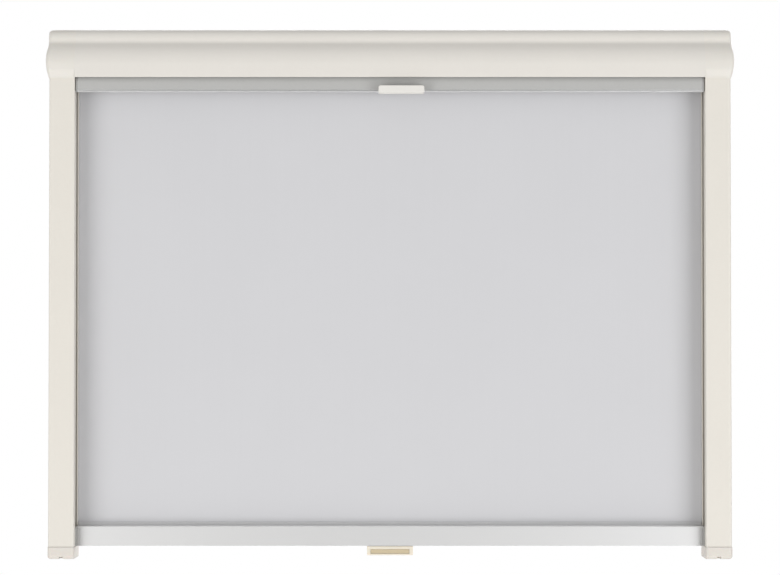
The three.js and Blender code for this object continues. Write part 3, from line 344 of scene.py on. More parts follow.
class Shader(Nodes):
    """A new material, with the patterns that the finishes use."""

    def __init__(self, name: str) -> None:
        """Starts a material whose patterns read Object coordinates.

        Args:
            name: The material's name.
        """
        self.material = bpy.data.materials.new(name)
        self.material.use_nodes = True
        super().__init__(self.material.node_tree)
        self.surface = self.tree.nodes["Principled BSDF"]
        self.place = self.add("ShaderNodeTexCoord").outputs["Object"]

    def scaled(self, scale: Point) -> Socket:
        """Object coordinates stretched by a factor along each axis."""
        return self.add("ShaderNodeMapping", Vector=self.place, Scale=scale).outputs[0]

    def noise(self, where: object, scale: float, detail: float) -> Socket:
        """Soft noise from 0 to 1, with that many bumps to the metre."""
        return self.add("ShaderNodeTexNoise", Vector=where, Scale=scale, Detail=detail).outputs[0]

    def cells(self, where: object, scale: float) -> Socket:
        """Distance to the nearest of scattered points, for moulded grain."""
        return self.add("ShaderNodeTexVoronoi", Vector=where, Scale=scale).outputs[0]

    def ridges(self, axis: Axis, pitch: float) -> Socket:
        """A sine along one axis, from 0 to 1, that repeats every pitch.

        Args:
            axis: The axis.
            pitch: Length of one wave.

        Returns:
            The pattern's height.
        """
        settings = {"wave_type": "BANDS", "bands_direction": axis.name, "wave_profile": "SIN"}
        scale = 2 * math.pi / WAVE_NODE_FACTOR / pitch
        return self.add("ShaderNodeTexWave", settings, Vector=self.place, Scale=scale).outputs[1]

    def blend(self, share: object, first: object, second: object) -> Socket:
        """A colour between two colours or colour sockets, by a share from 0 to 1.

        Args:
            share: A value or socket: 0 for the first, 1 for the second.
            first: A colour or socket.
            second: Another.

        Returns:
            The mixed colour.
        """
        node = self.add("ShaderNodeMix", {"data_type": "RGBA"})
        self.feed(node.inputs[0], share)
        for socket, colour in zip((node.inputs[6], node.inputs[7]), (first, second)):
            self.feed(socket, (*colour, 1) if isinstance(colour, tuple) else colour)
        return node.outputs[2]

    def tones(self, share: object, colour: Colour, dark: float, light: float) -> Socket:
        """A colour times a factor that runs from dark to light as the share runs from 0 to 1."""
        return self.blend(share, shade(colour, dark), shade(colour, light))

    def relief(self, height: object, distance: float, strength: float) -> None:
        """Raises the surface where the height is 1, on top of earlier relief.

        Args:
            height: A socket from 0 to 1.
            distance: How far 1 rises.
            strength: Share of the relief that shows.
        """
        normal = self.surface.inputs["Normal"]
        bump = self.add("ShaderNodeBump", Height=height, Distance=distance, Strength=strength)
        if normal.is_linked:
            self.feed(bump.inputs["Normal"], normal.links[0].from_socket)
        self.feed(normal, bump.outputs[0])

    def set(self, **inputs: object) -> None:
        """Sets or links inputs of the surface's own shader."""
        for key, value in inputs.items():
            self.feed(self.surface.inputs[key.replace("_", " ")], value)


@dataclass(frozen=True)
class Finish:
    """What every finish has: its name, the record's slot that it belongs to, and its colour."""

    name: str
    slot: str
    colour: Colour

    def material(self) -> bpy.types.Material:
        """The finish's material, made on its first use and shared afterwards.

        Returns:
            The material.
        """
        found = bpy.data.materials.get(self.name)
        if found:
            return found
        shader = Shader(self.name)
        self.paint(shader)
        return shader.material

    def paint(self, shader: Shader) -> None:
        """Adds the finish's nodes; each kind of finish has its own."""
        raise NotImplementedError


@dataclass(frozen=True)
class PowderCoat(Finish):
    """Baked powder paint on an extrusion: a faint orange peel, and clouding too weak to notice."""

    roughness: float = 0.42
    peel: float = 700.0

    def paint(self, shader: Shader) -> None:
        """Mottles the colour over the hand's width, and pits it over a millimetre and a half.

        Args:
            shader: The material's nodes.
        """
        clouds = shader.noise(shader.place, scale=14.0, detail=4.0)
        specks = shader.noise(shader.place, scale=260.0, detail=2.0)
        mixed = shader.maths("MULTIPLY_ADD", specks, 0.35, shader.maths("MULTIPLY", clouds, 0.65))
        colour = shader.tones(mixed, self.colour, dark=0.965, light=1.03)
        rough = shader.spread(specks, low=self.roughness - 0.06, high=self.roughness + 0.08)
        shader.set(Base_Color=colour, Roughness=rough)
        peel = shader.noise(shader.place, scale=self.peel, detail=1.0)
        shader.relief(peel, distance=0.00006, strength=0.5)


@dataclass(frozen=True)
class Moulding(Finish):
    """Moulded plastic with a fine spark-eroded grain and slight flow clouding."""

    roughness: float = 0.5
    grain: float = 0.00003
    soft: float = 0.0

    def paint(self, shader: Shader) -> None:
        """Clouds the colour, varies the gloss and raises a grain of about half a millimetre.

        Args:
            shader: The material's nodes.
        """
        flow = shader.noise(shader.scaled((1, 1, 2.5)), scale=30.0, detail=3.0)
        grain = shader.cells(shader.place, scale=1900.0)
        colour = shader.tones(flow, self.colour, dark=0.96, light=1.03)
        rough = shader.spread(flow, low=self.roughness - 0.05, high=self.roughness + 0.07)
        shader.set(Base_Color=colour, Roughness=rough, Subsurface_Weight=self.soft)
        shader.relief(grain, distance=self.grain, strength=0.6)


@dataclass(frozen=True)
class Anodised(Finish):
    """Matt anodised aluminium with the faint lengthwise lines of its extrusion die."""

    roughness: float = 0.34
    lines: float = 0.5

    def paint(self, shader: Shader) -> None:
        """Draws die lines along x, in the colour and the gloss.

        Args:
            shader: The material's nodes.
        """
        drawn, _ = self.draw_lines(shader)
        colour = shader.tones(drawn, self.colour, dark=0.95, light=1.05)
        rough = shader.spread(drawn, low=self.roughness - 0.05, high=self.roughness + 0.07)
        shader.set(Base_Color=colour, Roughness=rough, Metallic=1.0)

    def draw_lines(self, shader: Shader) -> tuple[Socket, Socket]:
        """Raises the die lines, noise squeezed a few hundred times across the bar, and the etching.

        Args:
            shader: The material's nodes.

        Returns:
            The heights of the lines and of the etching, each from 0 to 1.
        """
        drawn = shader.noise(shader.scaled((3.0, 900.0, 900.0)), scale=1.0, detail=3.0)
        etched = shader.noise(shader.place, scale=900.0, detail=2.0)
        shader.relief(drawn, distance=0.00002, strength=self.lines)
        shader.relief(etched, distance=0.00002, strength=0.4)
        return drawn, etched


@dataclass(frozen=True)
class LacqueredBar(Anodised):
    """Anodised aluminium that is bare below a height and covered by a dull lacquer above it."""

    lacquer: Colour = (0.5, 0.5, 0.5)
    lip_level: float = 0.0
    dulling: float = 0.16

    def paint(self, shader: Shader) -> None:
        """Keeps the metal below the lip's height and covers it above.

        Args:
            shader: The material's nodes.
        """
        _, etched = self.draw_lines(shader)
        height = shader.add("ShaderNodeSeparateXYZ", Vector=shader.place).outputs["Z"]
        covered = shader.maths("GREATER_THAN", height, self.lip_level)
        specks = shader.noise(shader.place, scale=420.0, detail=2.0)
        coat = shader.tones(specks, self.lacquer, dark=0.97, light=1.03)
        metal = shader.tones(etched, self.colour, dark=0.96, light=1.0)
        bare = shader.maths("SUBTRACT", 1.0, covered)
        rough = shader.maths("MULTIPLY_ADD", covered, self.dulling, self.roughness)
        shader.set(Base_Color=shader.blend(covered, metal, coat), Metallic=bare, Roughness=rough)


@dataclass(frozen=True)
class DrawnSteel(Finish):
    """Bare spring or rod steel, drawn along its length, with a little darker oxide."""

    def paint(self, shader: Shader) -> None:
        """Streaks the gloss along x and darkens the colour in patches.

        Args:
            shader: The material's nodes.
        """
        drawn = shader.noise(shader.scaled((12.0, 700.0, 700.0)), scale=1.0, detail=3.0)
        oxide = shader.noise(shader.place, scale=90.0, detail=5.0)
        colour = shader.tones(oxide, self.colour, dark=0.78, light=1.12)
        rough = shader.spread(drawn, low=0.24, high=0.44)
        shader.set(Base_Color=colour, Roughness=rough, Metallic=1.0)
        shader.relief(drawn, distance=0.00002, strength=0.5)


@dataclass(frozen=True)
class ZincPlate(Finish):
    """Zinc-coated steel with crystal spangle in dull and bright patches."""

    spangle: float = 130.0

    def paint(self, shader: Shader) -> None:
        """Varies colour and gloss from one spangle crystal to the next.

        Args:
            shader: The material's nodes.
        """
        crystal = shader.add("ShaderNodeTexVoronoi", Vector=shader.place, Scale=self.spangle)
        tone = shader.add("ShaderNodeSeparateColor", Color=crystal.outputs["Color"]).outputs[0]
        colour = shader.tones(tone, self.colour, dark=0.86, light=1.1)
        rough = shader.spread(tone, low=0.3, high=0.52)
        shader.set(Base_Color=colour, Roughness=rough, Metallic=0.9)
        pitting = shader.noise(shader.place, scale=400.0, detail=3.0)
        shader.relief(pitting, distance=0.00003, strength=0.4)


@dataclass(frozen=True)
class CoatedCloth(Finish):
    """Closely woven blackout cloth with a smooth pale coating that fills most of the weave."""

    pitch: float = 0.00052
    depth: float = 0.00003

    def paint(self, shader: Shader) -> None:
        """Crosses two fine sines for warp and weft, and clouds the coating along the drop.

        Args:
            shader: The material's nodes.
        """
        warp = shader.ridges(Axis.X, self.pitch)
        weft = shader.ridges(Axis.Z, self.pitch * 1.15)
        woven = shader.maths("MULTIPLY", warp, weft)
        slub = shader.noise(shader.scaled((240.0, 1.0, 4.0)), scale=1.0, detail=2.0)
        cloud = shader.noise(shader.place, scale=7.0, detail=3.0)
        tone = shader.maths("MULTIPLY_ADD", slub, 0.3, shader.maths("MULTIPLY", cloud, 0.7))
        colour = shader.tones(tone, self.colour, dark=0.975, light=1.02)
        rough = shader.spread(woven, low=0.55, high=0.72)
        shader.set(Base_Color=colour, Roughness=rough, Sheen_Weight=0.12, Specular_IOR_Level=0.35)
        shader.relief(woven, distance=self.depth, strength=0.5)
        shader.relief(slub, distance=0.00008, strength=0.35)


@dataclass(frozen=True)
class InsectMesh(Finish):
    """Woven glass-fibre fly screen: dark square threads with clear holes between them."""

    pitch: float = 0.0014
    thread: float = 0.36
    holes: bool = True

    def paint(self, shader: Shader) -> None:
        """Cuts square holes: opaque where either sine is within the thread's share of its crest.

        Args:
            shader: The material's nodes.
        """
        warp = shader.ridges(Axis.X, self.pitch)
        weft = shader.ridges(Axis.Z, self.pitch)
        raised = shader.maths("MAXIMUM", warp, weft)
        fade = shader.noise(shader.place, scale=300.0, detail=2.0)
        colour = shader.tones(fade, self.colour, dark=0.8, light=1.25)
        shader.set(Base_Color=colour, Roughness=0.75)
        if self.holes:
            shader.set(Alpha=shader.maths("GREATER_THAN", raised, 1 - self.thread))
        shader.relief(raised, distance=0.0001, strength=0.6)


@dataclass(frozen=True)
class Rubber(Finish):
    """Moulded rubber, dull and a little dusty."""

    def paint(self, shader: Shader) -> None:
        """Dusts the high spots with a paler tone over fine pitting.

        Args:
            shader: The material's nodes.
        """
        dust = shader.noise(shader.place, scale=500.0, detail=5.0)
        colour = shader.tones(dust, self.colour, dark=0.7, light=2.2)
        shader.set(Base_Color=colour, Roughness=shader.spread(dust, low=0.75, high=0.92))
        shader.relief(shader.cells(shader.place, scale=1500.0), distance=0.00005, strength=0.6)


@dataclass(frozen=True)
class Pile(Finish):
    """Brush pile: fibres that stand across the strip, in lighter and darker streaks."""

    def paint(self, shader: Shader) -> None:
        """Draws fibres along x: noise squeezed down the strip's length.

        Args:
            shader: The material's nodes.
        """
        fibre = shader.noise(shader.scaled((60.0, 400.0, 2600.0)), scale=1.0, detail=3.0)
        colour = shader.tones(fibre, self.colour, dark=0.55, light=1.6)
        shader.set(Base_Color=colour, Roughness=0.9, Sheen_Weight=0.4)
        shader.relief(fibre, distance=0.0003, strength=0.9)


CREAM_PAINT = PowderCoat("cream_powder_coat", "cream_paint", (0.80, 0.765, 0.70))
COVER_PAINT = PowderCoat("cover_powder_coat", "cream_paint", (0.805, 0.775, 0.725))
CREAM_MOULDING = Moulding("cream_moulding", "cream_plastic", (0.82, 0.78, 0.72), soft=0.03)
# The cream moulding evenly darkened for the feet: its colour is painted shade, as the feet take
# less light than the rails.
FOOT_MOULDING_PAINTED_SHADE = Moulding("foot_moulding_painted_shade", "cream_plastic", (0.745, 0.70, 0.645), soft=0.03)
GRIP_MOULDING = Moulding("grip_moulding", "cream_plastic", (0.85, 0.775, 0.645), soft=0.05)
BLACKOUT_BAR = LacqueredBar(
    "silver_bar_with_lip",
    "silver_aluminium",
    (0.80, 0.80, 0.80),
    roughness=0.50,
    lacquer=(0.66, 0.66, 0.67),
    lip_level=-0.5279,
)
SCREEN_BAR = LacqueredBar(
    "lacquered_anodised",
    "silver_aluminium",
    (0.90, 0.90, 0.90),
    roughness=0.40,
    lacquer=(0.49, 0.49, 0.48),
    lip_level=-0.0412,
)
MILL_TUBE = Anodised("mill_aluminium", "mill_aluminium", (0.52, 0.53, 0.54), roughness=0.42)
GREY_MOULDING = Moulding("grey_moulding", "grey_plastic", (0.45, 0.45, 0.44), roughness=0.42)
WHITE_MOULDING = Moulding("white_moulding", "white_plastic", (0.84, 0.82, 0.78), roughness=0.36)
BEIGE_MOULDING = Moulding("beige_moulding", "beige_plastic", (0.63, 0.53, 0.355), roughness=0.45)
NYLON = Moulding("natural_nylon", "natural_nylon", (0.80, 0.78, 0.70), roughness=0.48, soft=0.08)
PAD_RUBBER = Rubber("pad_rubber", "black_rubber", (0.03, 0.03, 0.032))
SPRING_STEEL = DrawnSteel("spring_steel", "spring_steel", (0.36, 0.37, 0.39))
ZINC = ZincPlate("zinc_plate", "zinc_steel", (0.56, 0.58, 0.57))
BLACKOUT = CoatedCloth("coated_blackout_cloth", "silver_cloth", (0.655, 0.655, 0.675))
FLY_MESH = InsectMesh("fly_mesh", "grey_mesh", (0.13, 0.135, 0.145))
WOUND_MESH = InsectMesh("wound_fly_mesh", "grey_mesh", (0.16, 0.165, 0.175), holes=False)
PILE = Pile("seal_pile", "grey_pile", (0.20, 0.21, 0.22))


# Pieces

SMOOTH_BEND = 38.0  # Degrees up to which an edge is shaded smooth.
FLAT_BEND = 0.5  # Degrees up to which two faces count as one.
WELD_DISTANCE = 1e-6  # Metres within which points count as one.


def skin(name: str, surfaces: Sequence[Surface], finish: Finish, crease: float = 30.0) -> Piece:
    """A new object of one or more closed surfaces, smooth wherever they bend by less than a crease.

    Args:
        name: The piece's name.
        surfaces: The surfaces that it is made of.
        finish: What it is finished in.
        crease: The angle, in degrees, above which an edge stays sharp.

    Returns:
        The object, with its place in its mesh.
    """
    starts = np.cumsum([0] + [len(s.points) for s in surfaces])
    points = np.concatenate([s.points for s in surfaces])
    faces = [
        tuple(i + int(start) for i in face)
        for surface, start in zip(surfaces, starts)
        for face in surface.faces
    ]
    mesh = bpy.data.meshes.new(name)
    mesh.from_pydata(points.tolist(), [], faces)
    shaped = bmesh.new()
    shaped.from_mesh(mesh)
    bmesh.ops.recalc_face_normals(shaped, faces=shaped.faces)
    shaped.to_mesh(mesh)
    shaped.free()
    mesh.polygons.foreach_set("use_smooth", np.ones(len(mesh.polygons), bool))
    mesh.set_sharp_from_angle(angle=math.radians(crease))
    mesh.materials.append(finish.material())
    piece = bpy.data.objects.new(name, mesh)
    bpy.context.scene.collection.objects.link(piece)
    return piece


def smoothing() -> bpy.types.GeometryNodeTree:
    """Nodes that shade faces smooth, apart from edges that bend by more than SMOOTH_BEND.

    Returns:
        The node group, made on its first use and shared afterwards.
    """
    found = bpy.data.node_groups.get("smooth_faces")
    if found:
        return found
    tree = bpy.data.node_groups.new("smooth_faces", "GeometryNodeTree")
    tree.interface.new_socket("Geometry", in_out="INPUT", socket_type="NodeSocketGeometry")
    tree.interface.new_socket("Geometry", in_out="OUTPUT", socket_type="NodeSocketGeometry")
    start, end = tree.nodes.new("NodeGroupInput"), tree.nodes.new("NodeGroupOutput")
    bend = tree.nodes.new("GeometryNodeInputMeshEdgeAngle")
    gentle = tree.nodes.new("FunctionNodeCompare")
    gentle.operation = "LESS_EQUAL"
    gentle.inputs[1].default_value = math.radians(SMOOTH_BEND)
    faces = tree.nodes.new("GeometryNodeSetShadeSmooth")
    edges = tree.nodes.new("GeometryNodeSetShadeSmooth")
    edges.domain = "EDGE"
    tree.links.new(start.outputs[0], faces.inputs["Geometry"])
    tree.links.new(faces.outputs[0], edges.inputs["Geometry"])
    tree.links.new(bend.outputs["Unsigned Angle"], gentle.inputs[0])
    tree.links.new(gentle.outputs[0], edges.inputs["Shade Smooth"])
    tree.links.new(edges.outputs[0], end.inputs[0])
    return tree


def soften(piece: Piece, width: float, angle: float = 35.0) -> None:
    """Rounds a piece's sharp edges by a small width, and keeps its flat faces flat in the light.

    Args:
        piece: The object.
        width: Width of the rounding.
        angle: The least bend, in degrees, that counts as an edge.
    """
    bevel = piece.modifiers.new("softened_edges", "BEVEL")
    bevel.width = width
    bevel.segments = 2
    bevel.limit_method = "ANGLE"
    bevel.angle_limit = math.radians(angle)
    bevel.use_clamp_overlap = True
    piece.modifiers.new("smooth_faces", "NODES").node_group = smoothing()
    even = piece.modifiers.new("flat_faces", "WEIGHTED_NORMAL")
    even.weight = 100
    even.keep_sharp = True


def mount(piece: Piece, body: str, *nodes: str) -> None:
    """Lets a new piece ride on a body in place of the nodes that it stands for, and reports it.

    Args:
        piece: The new piece.
        body: The body that carries it.
        nodes: The nodes that it stands for.
    """
    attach(piece, body)
    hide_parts(*nodes)
    log.info("%s rides on %s for %s", piece.name, body, ", ".join(nodes))


def dress(node: str, finish: Finish, edge: float = 0.0001) -> None:
    """Gives a node of the frame its finish, and rounds its edges.

    Args:
        node: The node's name.
        finish: What it is finished in.
        edge: Width of the rounding.
    """
    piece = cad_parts[node]
    piece.data.materials.clear()
    piece.data.materials.append(finish.material())
    weld = piece.modifiers.new("welded_facets", "WELD")
    weld.merge_threshold = WELD_DISTANCE
    flat = piece.modifiers.new("whole_faces", "DECIMATE")
    flat.decimate_type = "DISSOLVE"
    flat.angle_limit = math.radians(FLAT_BEND)
    soften(piece, edge)
    log.info("%s keeps its shape, in %s", node, finish.name)


# The cassette

SIN_45 = math.sqrt(0.5)  # Also the cosine of 45 degrees.


@dataclass(frozen=True)
class LobedFront:
    """The cassette's two-lobed outline from the side, and the caps' outline from the front."""

    top: float = 0.02745
    depth: float = 0.0455
    upper_depth: float = depth * 0.71
    upper_radius: float = 0.011
    lower_radius: float = depth * 0.655
    shoulder: float = top - 0.0149
    hollow_radius: float = 0.0063
    cap_bottom: float = -0.0286
    fairing_height: float = 0.01085
    fairing_setback: float = 0.0025
    half_width: float = 0.380
    shoulder_reach: float = 0.0022
    widest_reach: float = 0.004
    widest_height: float = top - 0.0356
    side_radius: float = 0.063
    top_corner: float = 0.004

    @property
    def upper_centre(self) -> tuple[float, float]:
        """Depth and height of the upper lobe's centre."""
        return self.upper_depth - self.upper_radius, self.top - self.upper_radius

    @property
    def lower_centre(self) -> tuple[float, float]:
        """Depth and height of the lower lobe's centre, which the 45 degree slope settles.

        Returns:
            The depth and the height.
        """
        across = self.depth - self.lower_radius
        fall = (self.lower_radius - (self.upper_depth - across) * SIN_45) / SIN_45
        return across, self.shoulder - fall

    def corner(self, inset: float) -> float:
        """Height where the slope meets the upper lobe's upright front, set in by a wall.

        Args:
            inset: Thickness of the wall that the surface is set in by.

        Returns:
            The height.
        """
        across, height = self.lower_centre
        run = (self.upper_depth - inset - across) * SIN_45
        return height + (self.lower_radius - inset - run) / SIN_45

    def hollow(self, inset: float) -> tuple[float, float, float]:
        """The hollow between the lobes: depth and height of its arc's centre, and its radius.

        Args:
            inset: Thickness of the wall that the surface is set in by.

        Returns:
            The depth, the height and the radius.
        """
        radius = self.hollow_radius + inset
        rise = radius * math.tan(math.radians(45 / 2))
        return self.upper_depth - inset + radius, self.corner(inset) + rise, radius

    def outline(self, inset: float, steps: int = 24) -> Array:
        """Depths and heights down the front: arc, upright, hollow arc, slope, arc.

        Args:
            inset: Thickness of the wall that the outline is set in by.
            steps: Number of chords in each lobe.

        Returns:
            Points from the top down.
        """
        upper = arc(self.upper_centre, self.upper_radius - inset, 90, 0, steps)
        depth, height, radius = self.hollow(inset)
        hollow = arc((depth, height), radius, 180, 225, steps // 2)
        lower = arc(self.lower_centre, self.lower_radius - inset, 45, 0, steps)
        return np.concatenate([upper, hollow, lower])

    def front(self, z: Array, inset: float) -> Array:
        """Depth of the front at each height: the outline's depth, and below the lower lobe a
        smoothstep that runs back to the rail.

        Args:
            z: Heights.
            inset: Thickness of the wall that the surface is set in by.

        Returns:
            One depth for each height.
        """
        (ud, uz), (ld, lz) = self.upper_centre, self.lower_centre
        ru, rl = self.upper_radius - inset, self.lower_radius - inset
        upper = ud + np.sqrt(np.clip(ru**2 - np.clip(z - uz, 0, ru) ** 2, 0, None))
        slope = ld + (rl - (z - lz) * SIN_45) / SIN_45
        hd, hz, hr = self.hollow(inset)
        hollow = hd - np.sqrt(np.clip(hr**2 - np.clip(hz - z, 0, hr) ** 2, 0, None))
        lower = ld + np.sqrt(np.clip(rl**2 - (z - lz) ** 2, 0, None))
        t = np.clip((self.cap_bottom + self.fairing_height - z) / self.fairing_height, 0, 1)
        fairing = self.depth - inset - self.fairing_setback * t * t * (3 - 2 * t)
        bands = [z >= uz, z >= hz, z >= hz - hr * SIN_45, z >= lz + rl * SIN_45, z >= lz]
        upright = np.full_like(z, self.upper_depth - inset)
        return np.select(bands, [upper, upright, hollow, slope, lower], fairing)

    def reach(self, z: Array, inset: float) -> Array:
        """How far the cap's side stands from the middle at each height: the wide lower arc, the
        narrower shoulder above it, and the shoulder's rounded top.

        Args:
            z: Heights.
            inset: Thickness of the wall that the surface is set in by.

        Returns:
            One distance for each height.
        """
        shoulder = self.half_width + self.shoulder_reach
        centre = self.half_width + self.widest_reach - self.side_radius
        rise = z - self.widest_height
        bulge = centre + np.sqrt(np.clip((self.side_radius - inset) ** 2 - rise**2, 0, None))
        corner = self.top_corner - inset
        lift = np.clip(z - (self.top - self.top_corner), 0, corner)
        rounded = shoulder - self.top_corner + np.sqrt(corner**2 - lift**2)
        return np.where((rise < 0) | (bulge > shoulder - inset), bulge, rounded)


@dataclass(frozen=True)
class Tab:
    """A rounded block inside a cap, by its reach from the middle, its depth and its height."""

    reach: Span
    depth: Span
    height: Span
    corner: float
    along: Axis = Axis.Y

    def solid(self, side: Side, holes: Sequence[Array] = ()) -> Surface:
        """The block in one cap, its corners rounded about the axis that it is carried along.

        Args:
            side: Which cap.
            holes: Outlines of the holes through it.

        Returns:
            The closed surface.
        """
        across = sorted(side.value * reach for reach in self.reach)
        depths = [-depth for depth in self.depth]
        other, stations = (depths, self.height) if self.along is Axis.Z else (self.height, depths)
        outline = oblong((across[0], other[0]), (across[1], other[1]), self.corner)
        return carried([outline, *holes], self.along, stations)


@dataclass(frozen=True)
class Cassette:
    """The cover, the plate behind it, the two end caps and the screws that hold them."""

    front: LobedFront = LobedFront()
    opening_half: float = 0.3515
    seam: float = 0.00002
    cover_wall: float = 0.0016
    lip_return: float = 0.0024
    lip_edge: float = 0.0007
    cap_wall: float = 0.002
    cap_corner: float = 0.005
    boss_face: float = 0.371
    boss_radius: float = 0.0055
    arbor_bore: float = 0.0026
    bush_bore: float = 0.0045
    bore_end: float = 0.3773
    screw_reach: float = 0.3445
    screw_height: float = 0.007
    screw_bore: float = 0.0018
    spigot: Tab = Tab((0.3514, 0.3782), (0.0094, 0.0018), (-0.04035, -0.0265), 0.0005, Axis.Z)
    top_tab: Tab = Tab((0.3535, 0.343), (0.007, 0.016), (0.02395, 0.02555), 0.0003)
    lip_tab: Tab = Tab((0.3535, 0.343), (0.0436, 0.042), (-0.02345, -0.01645), 0.0006)
    screw_tab: Tab = Tab((0.3535, 0.3375), (0.0019, 0.0043), (-0.012, 0.012), 0.001)

    def build(self) -> None:
        """Builds the cover and the caps anew, and finishes the plate and the screws."""
        self.build_cover()
        for side in Side:
            self.build_cap(side)
            for row in ("upper", "lower"):
                dress(f"cap_screw_{side.word}_{row}", ZINC, edge=0.0002)
        dress("cassette_back_plate", ZINC, edge=0.0002)

    def build_cover(self) -> None:
        """Carries the cover's lobed section along x: its front, its lip and its inner face."""
        f = self.front
        bottom, back = -f.top, f.depth - self.lip_return
        lip = arc((f.depth - self.lip_edge, bottom + self.lip_edge), self.lip_edge, 0, -90, steps=6)
        rise = bottom + self.cover_wall
        edge = [[back, bottom], [back, rise], [f.depth - self.cover_wall, rise]]
        inside = f.outline(self.cover_wall)[::-1]
        start = [[0.0, f.top]]
        end = [[0.0, f.top - self.cover_wall]]
        section = np.concatenate([start, f.outline(0.0), lip, edge, inside, end])
        half = self.opening_half - self.seam
        profile = section * np.array([-1.0, 1.0])
        surface = carried([profile], Axis.X, [-half, half])
        cover = skin("cassette_cover_extrusion", [surface], COVER_PAINT)
        soften(cover, width=0.00005, angle=60.0)
        mount(cover, "frame", "cassette_cover")

    def cap_grid(self, side: Side, inset: float) -> Array:
        """Rings of the cap: from the inner edge along the front, round a quarter arc, to the wall.

        Args:
            side: Which cap.
            inset: Thickness of the wall that the surface is set in by.

        Returns:
            Points by level and place along the ring.
        """
        levels, inner, back = self.cap_levels(inset), self.opening_half, inset
        depth = self.front.front(levels, inset)[:, None]
        reach = self.front.reach(levels, inset)[:, None]
        radius = self.cap_corner - inset
        t = np.radians(np.linspace(0, 90, 13))[None]
        x = reach - radius * (1 - np.sin(t))
        y = depth - radius * (1 - np.cos(t))
        ends = np.ones_like(depth)
        x = np.concatenate([inner * ends, x, reach, inner * ends], axis=1)
        y = np.concatenate([depth, y, back * ends, back * ends], axis=1)
        z = np.broadcast_to(levels[:, None], x.shape)
        return np.stack([side.value * x, -y, z], axis=-1)

    def cap_levels(self, inset: float) -> Array:
        """Heights of the cap's rings, close together where the outline curves.

        Args:
            inset: Thickness of the wall that the surface is set in by.

        Returns:
            The heights, upwards.
        """
        f = self.front
        lower = f.lower_centre[1] + (f.lower_radius - inset) * sines(0, 45, count=15)
        upper = f.upper_centre[1] + (f.upper_radius - inset) * sines(0, 90, count=19)
        fairing = np.linspace(f.cap_bottom, f.cap_bottom + f.fairing_height, 12)
        _, height, radius = f.hollow(inset)
        hollow = height - radius * sines(45, 0, count=9)
        return np.concatenate([fairing, lower, hollow, upper])

    def cap_shell(self, side: Side) -> Surface:
        """The cap's wall: an outer and an inner grid, joined round the open side and bottom.

        Args:
            side: Which cap.

        Returns:
            The closed surface.
        """
        outer, inner = self.cap_grid(side, 0.0), self.cap_grid(side, self.cap_wall)
        levels, columns = outer.shape[:2]
        count = levels * columns
        sides = grid_faces(levels, columns, False)
        upright, across = np.arange(levels) * columns, np.arange(columns)
        rims = [rim_faces(line, count) for line in (upright, upright + columns - 1, across)]
        top = across + count - columns
        rims.append(rim_faces(top[[0, -1]], count))
        faces = listed(sides, sides + count, *rims, np.stack([top, top + count]))
        return Surface(np.concatenate([outer.reshape(-1, 3), inner.reshape(-1, 3)]), faces)

    def cap_inside(self, side: Side) -> list[Surface]:
        """What stands inside a cap: the bosses with their bores, the spigot and the three tabs.

        Args:
            side: Which cap.

        Returns:
            One closed surface for each.
        """
        bore = self.arbor_bore if side is Side.LEFT else self.bush_bore
        face, floor = side.value * self.boss_face, side.value * self.bore_end
        found = []
        for node in ("blackout_idle_bearing", "screen_idle_bearing"):
            low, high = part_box(node)
            centre = ((low.y + high.y) / 2, (low.z + high.z) / 2)
            wall = float(self.front.reach(np.array([centre[1]]), 0.0)[0]) - self.cap_wall / 2
            loops = [ring(centre, self.boss_radius), ring(centre, bore)]
            found.append(carried(loops, Axis.X, [face, floor]))
            found.append(carried(loops[:1], Axis.X, [floor, side.value * wall]))
        across = side.value * self.screw_reach
        heights = (-self.screw_height, self.screw_height)
        holes = [ring((across, height), self.screw_bore) for height in heights]
        tabs = [tab.solid(side) for tab in (self.spigot, self.top_tab, self.lip_tab)]
        return [*found, *tabs, self.screw_tab.solid(side, holes)]

    def build_cap(self, side: Side) -> None:
        """Builds one cap as its shell and what stands inside it.

        Args:
            side: Which cap.
        """
        surfaces = [self.cap_shell(side), *self.cap_inside(side)]
        cap = skin(f"end_cap_{side.word}_moulding", surfaces, CREAM_MOULDING, crease=34.0)
        soften(cap, width=0.00005, angle=50.0)
        mount(cap, "frame", f"end_cap_{side.word}")


# Rails and feet


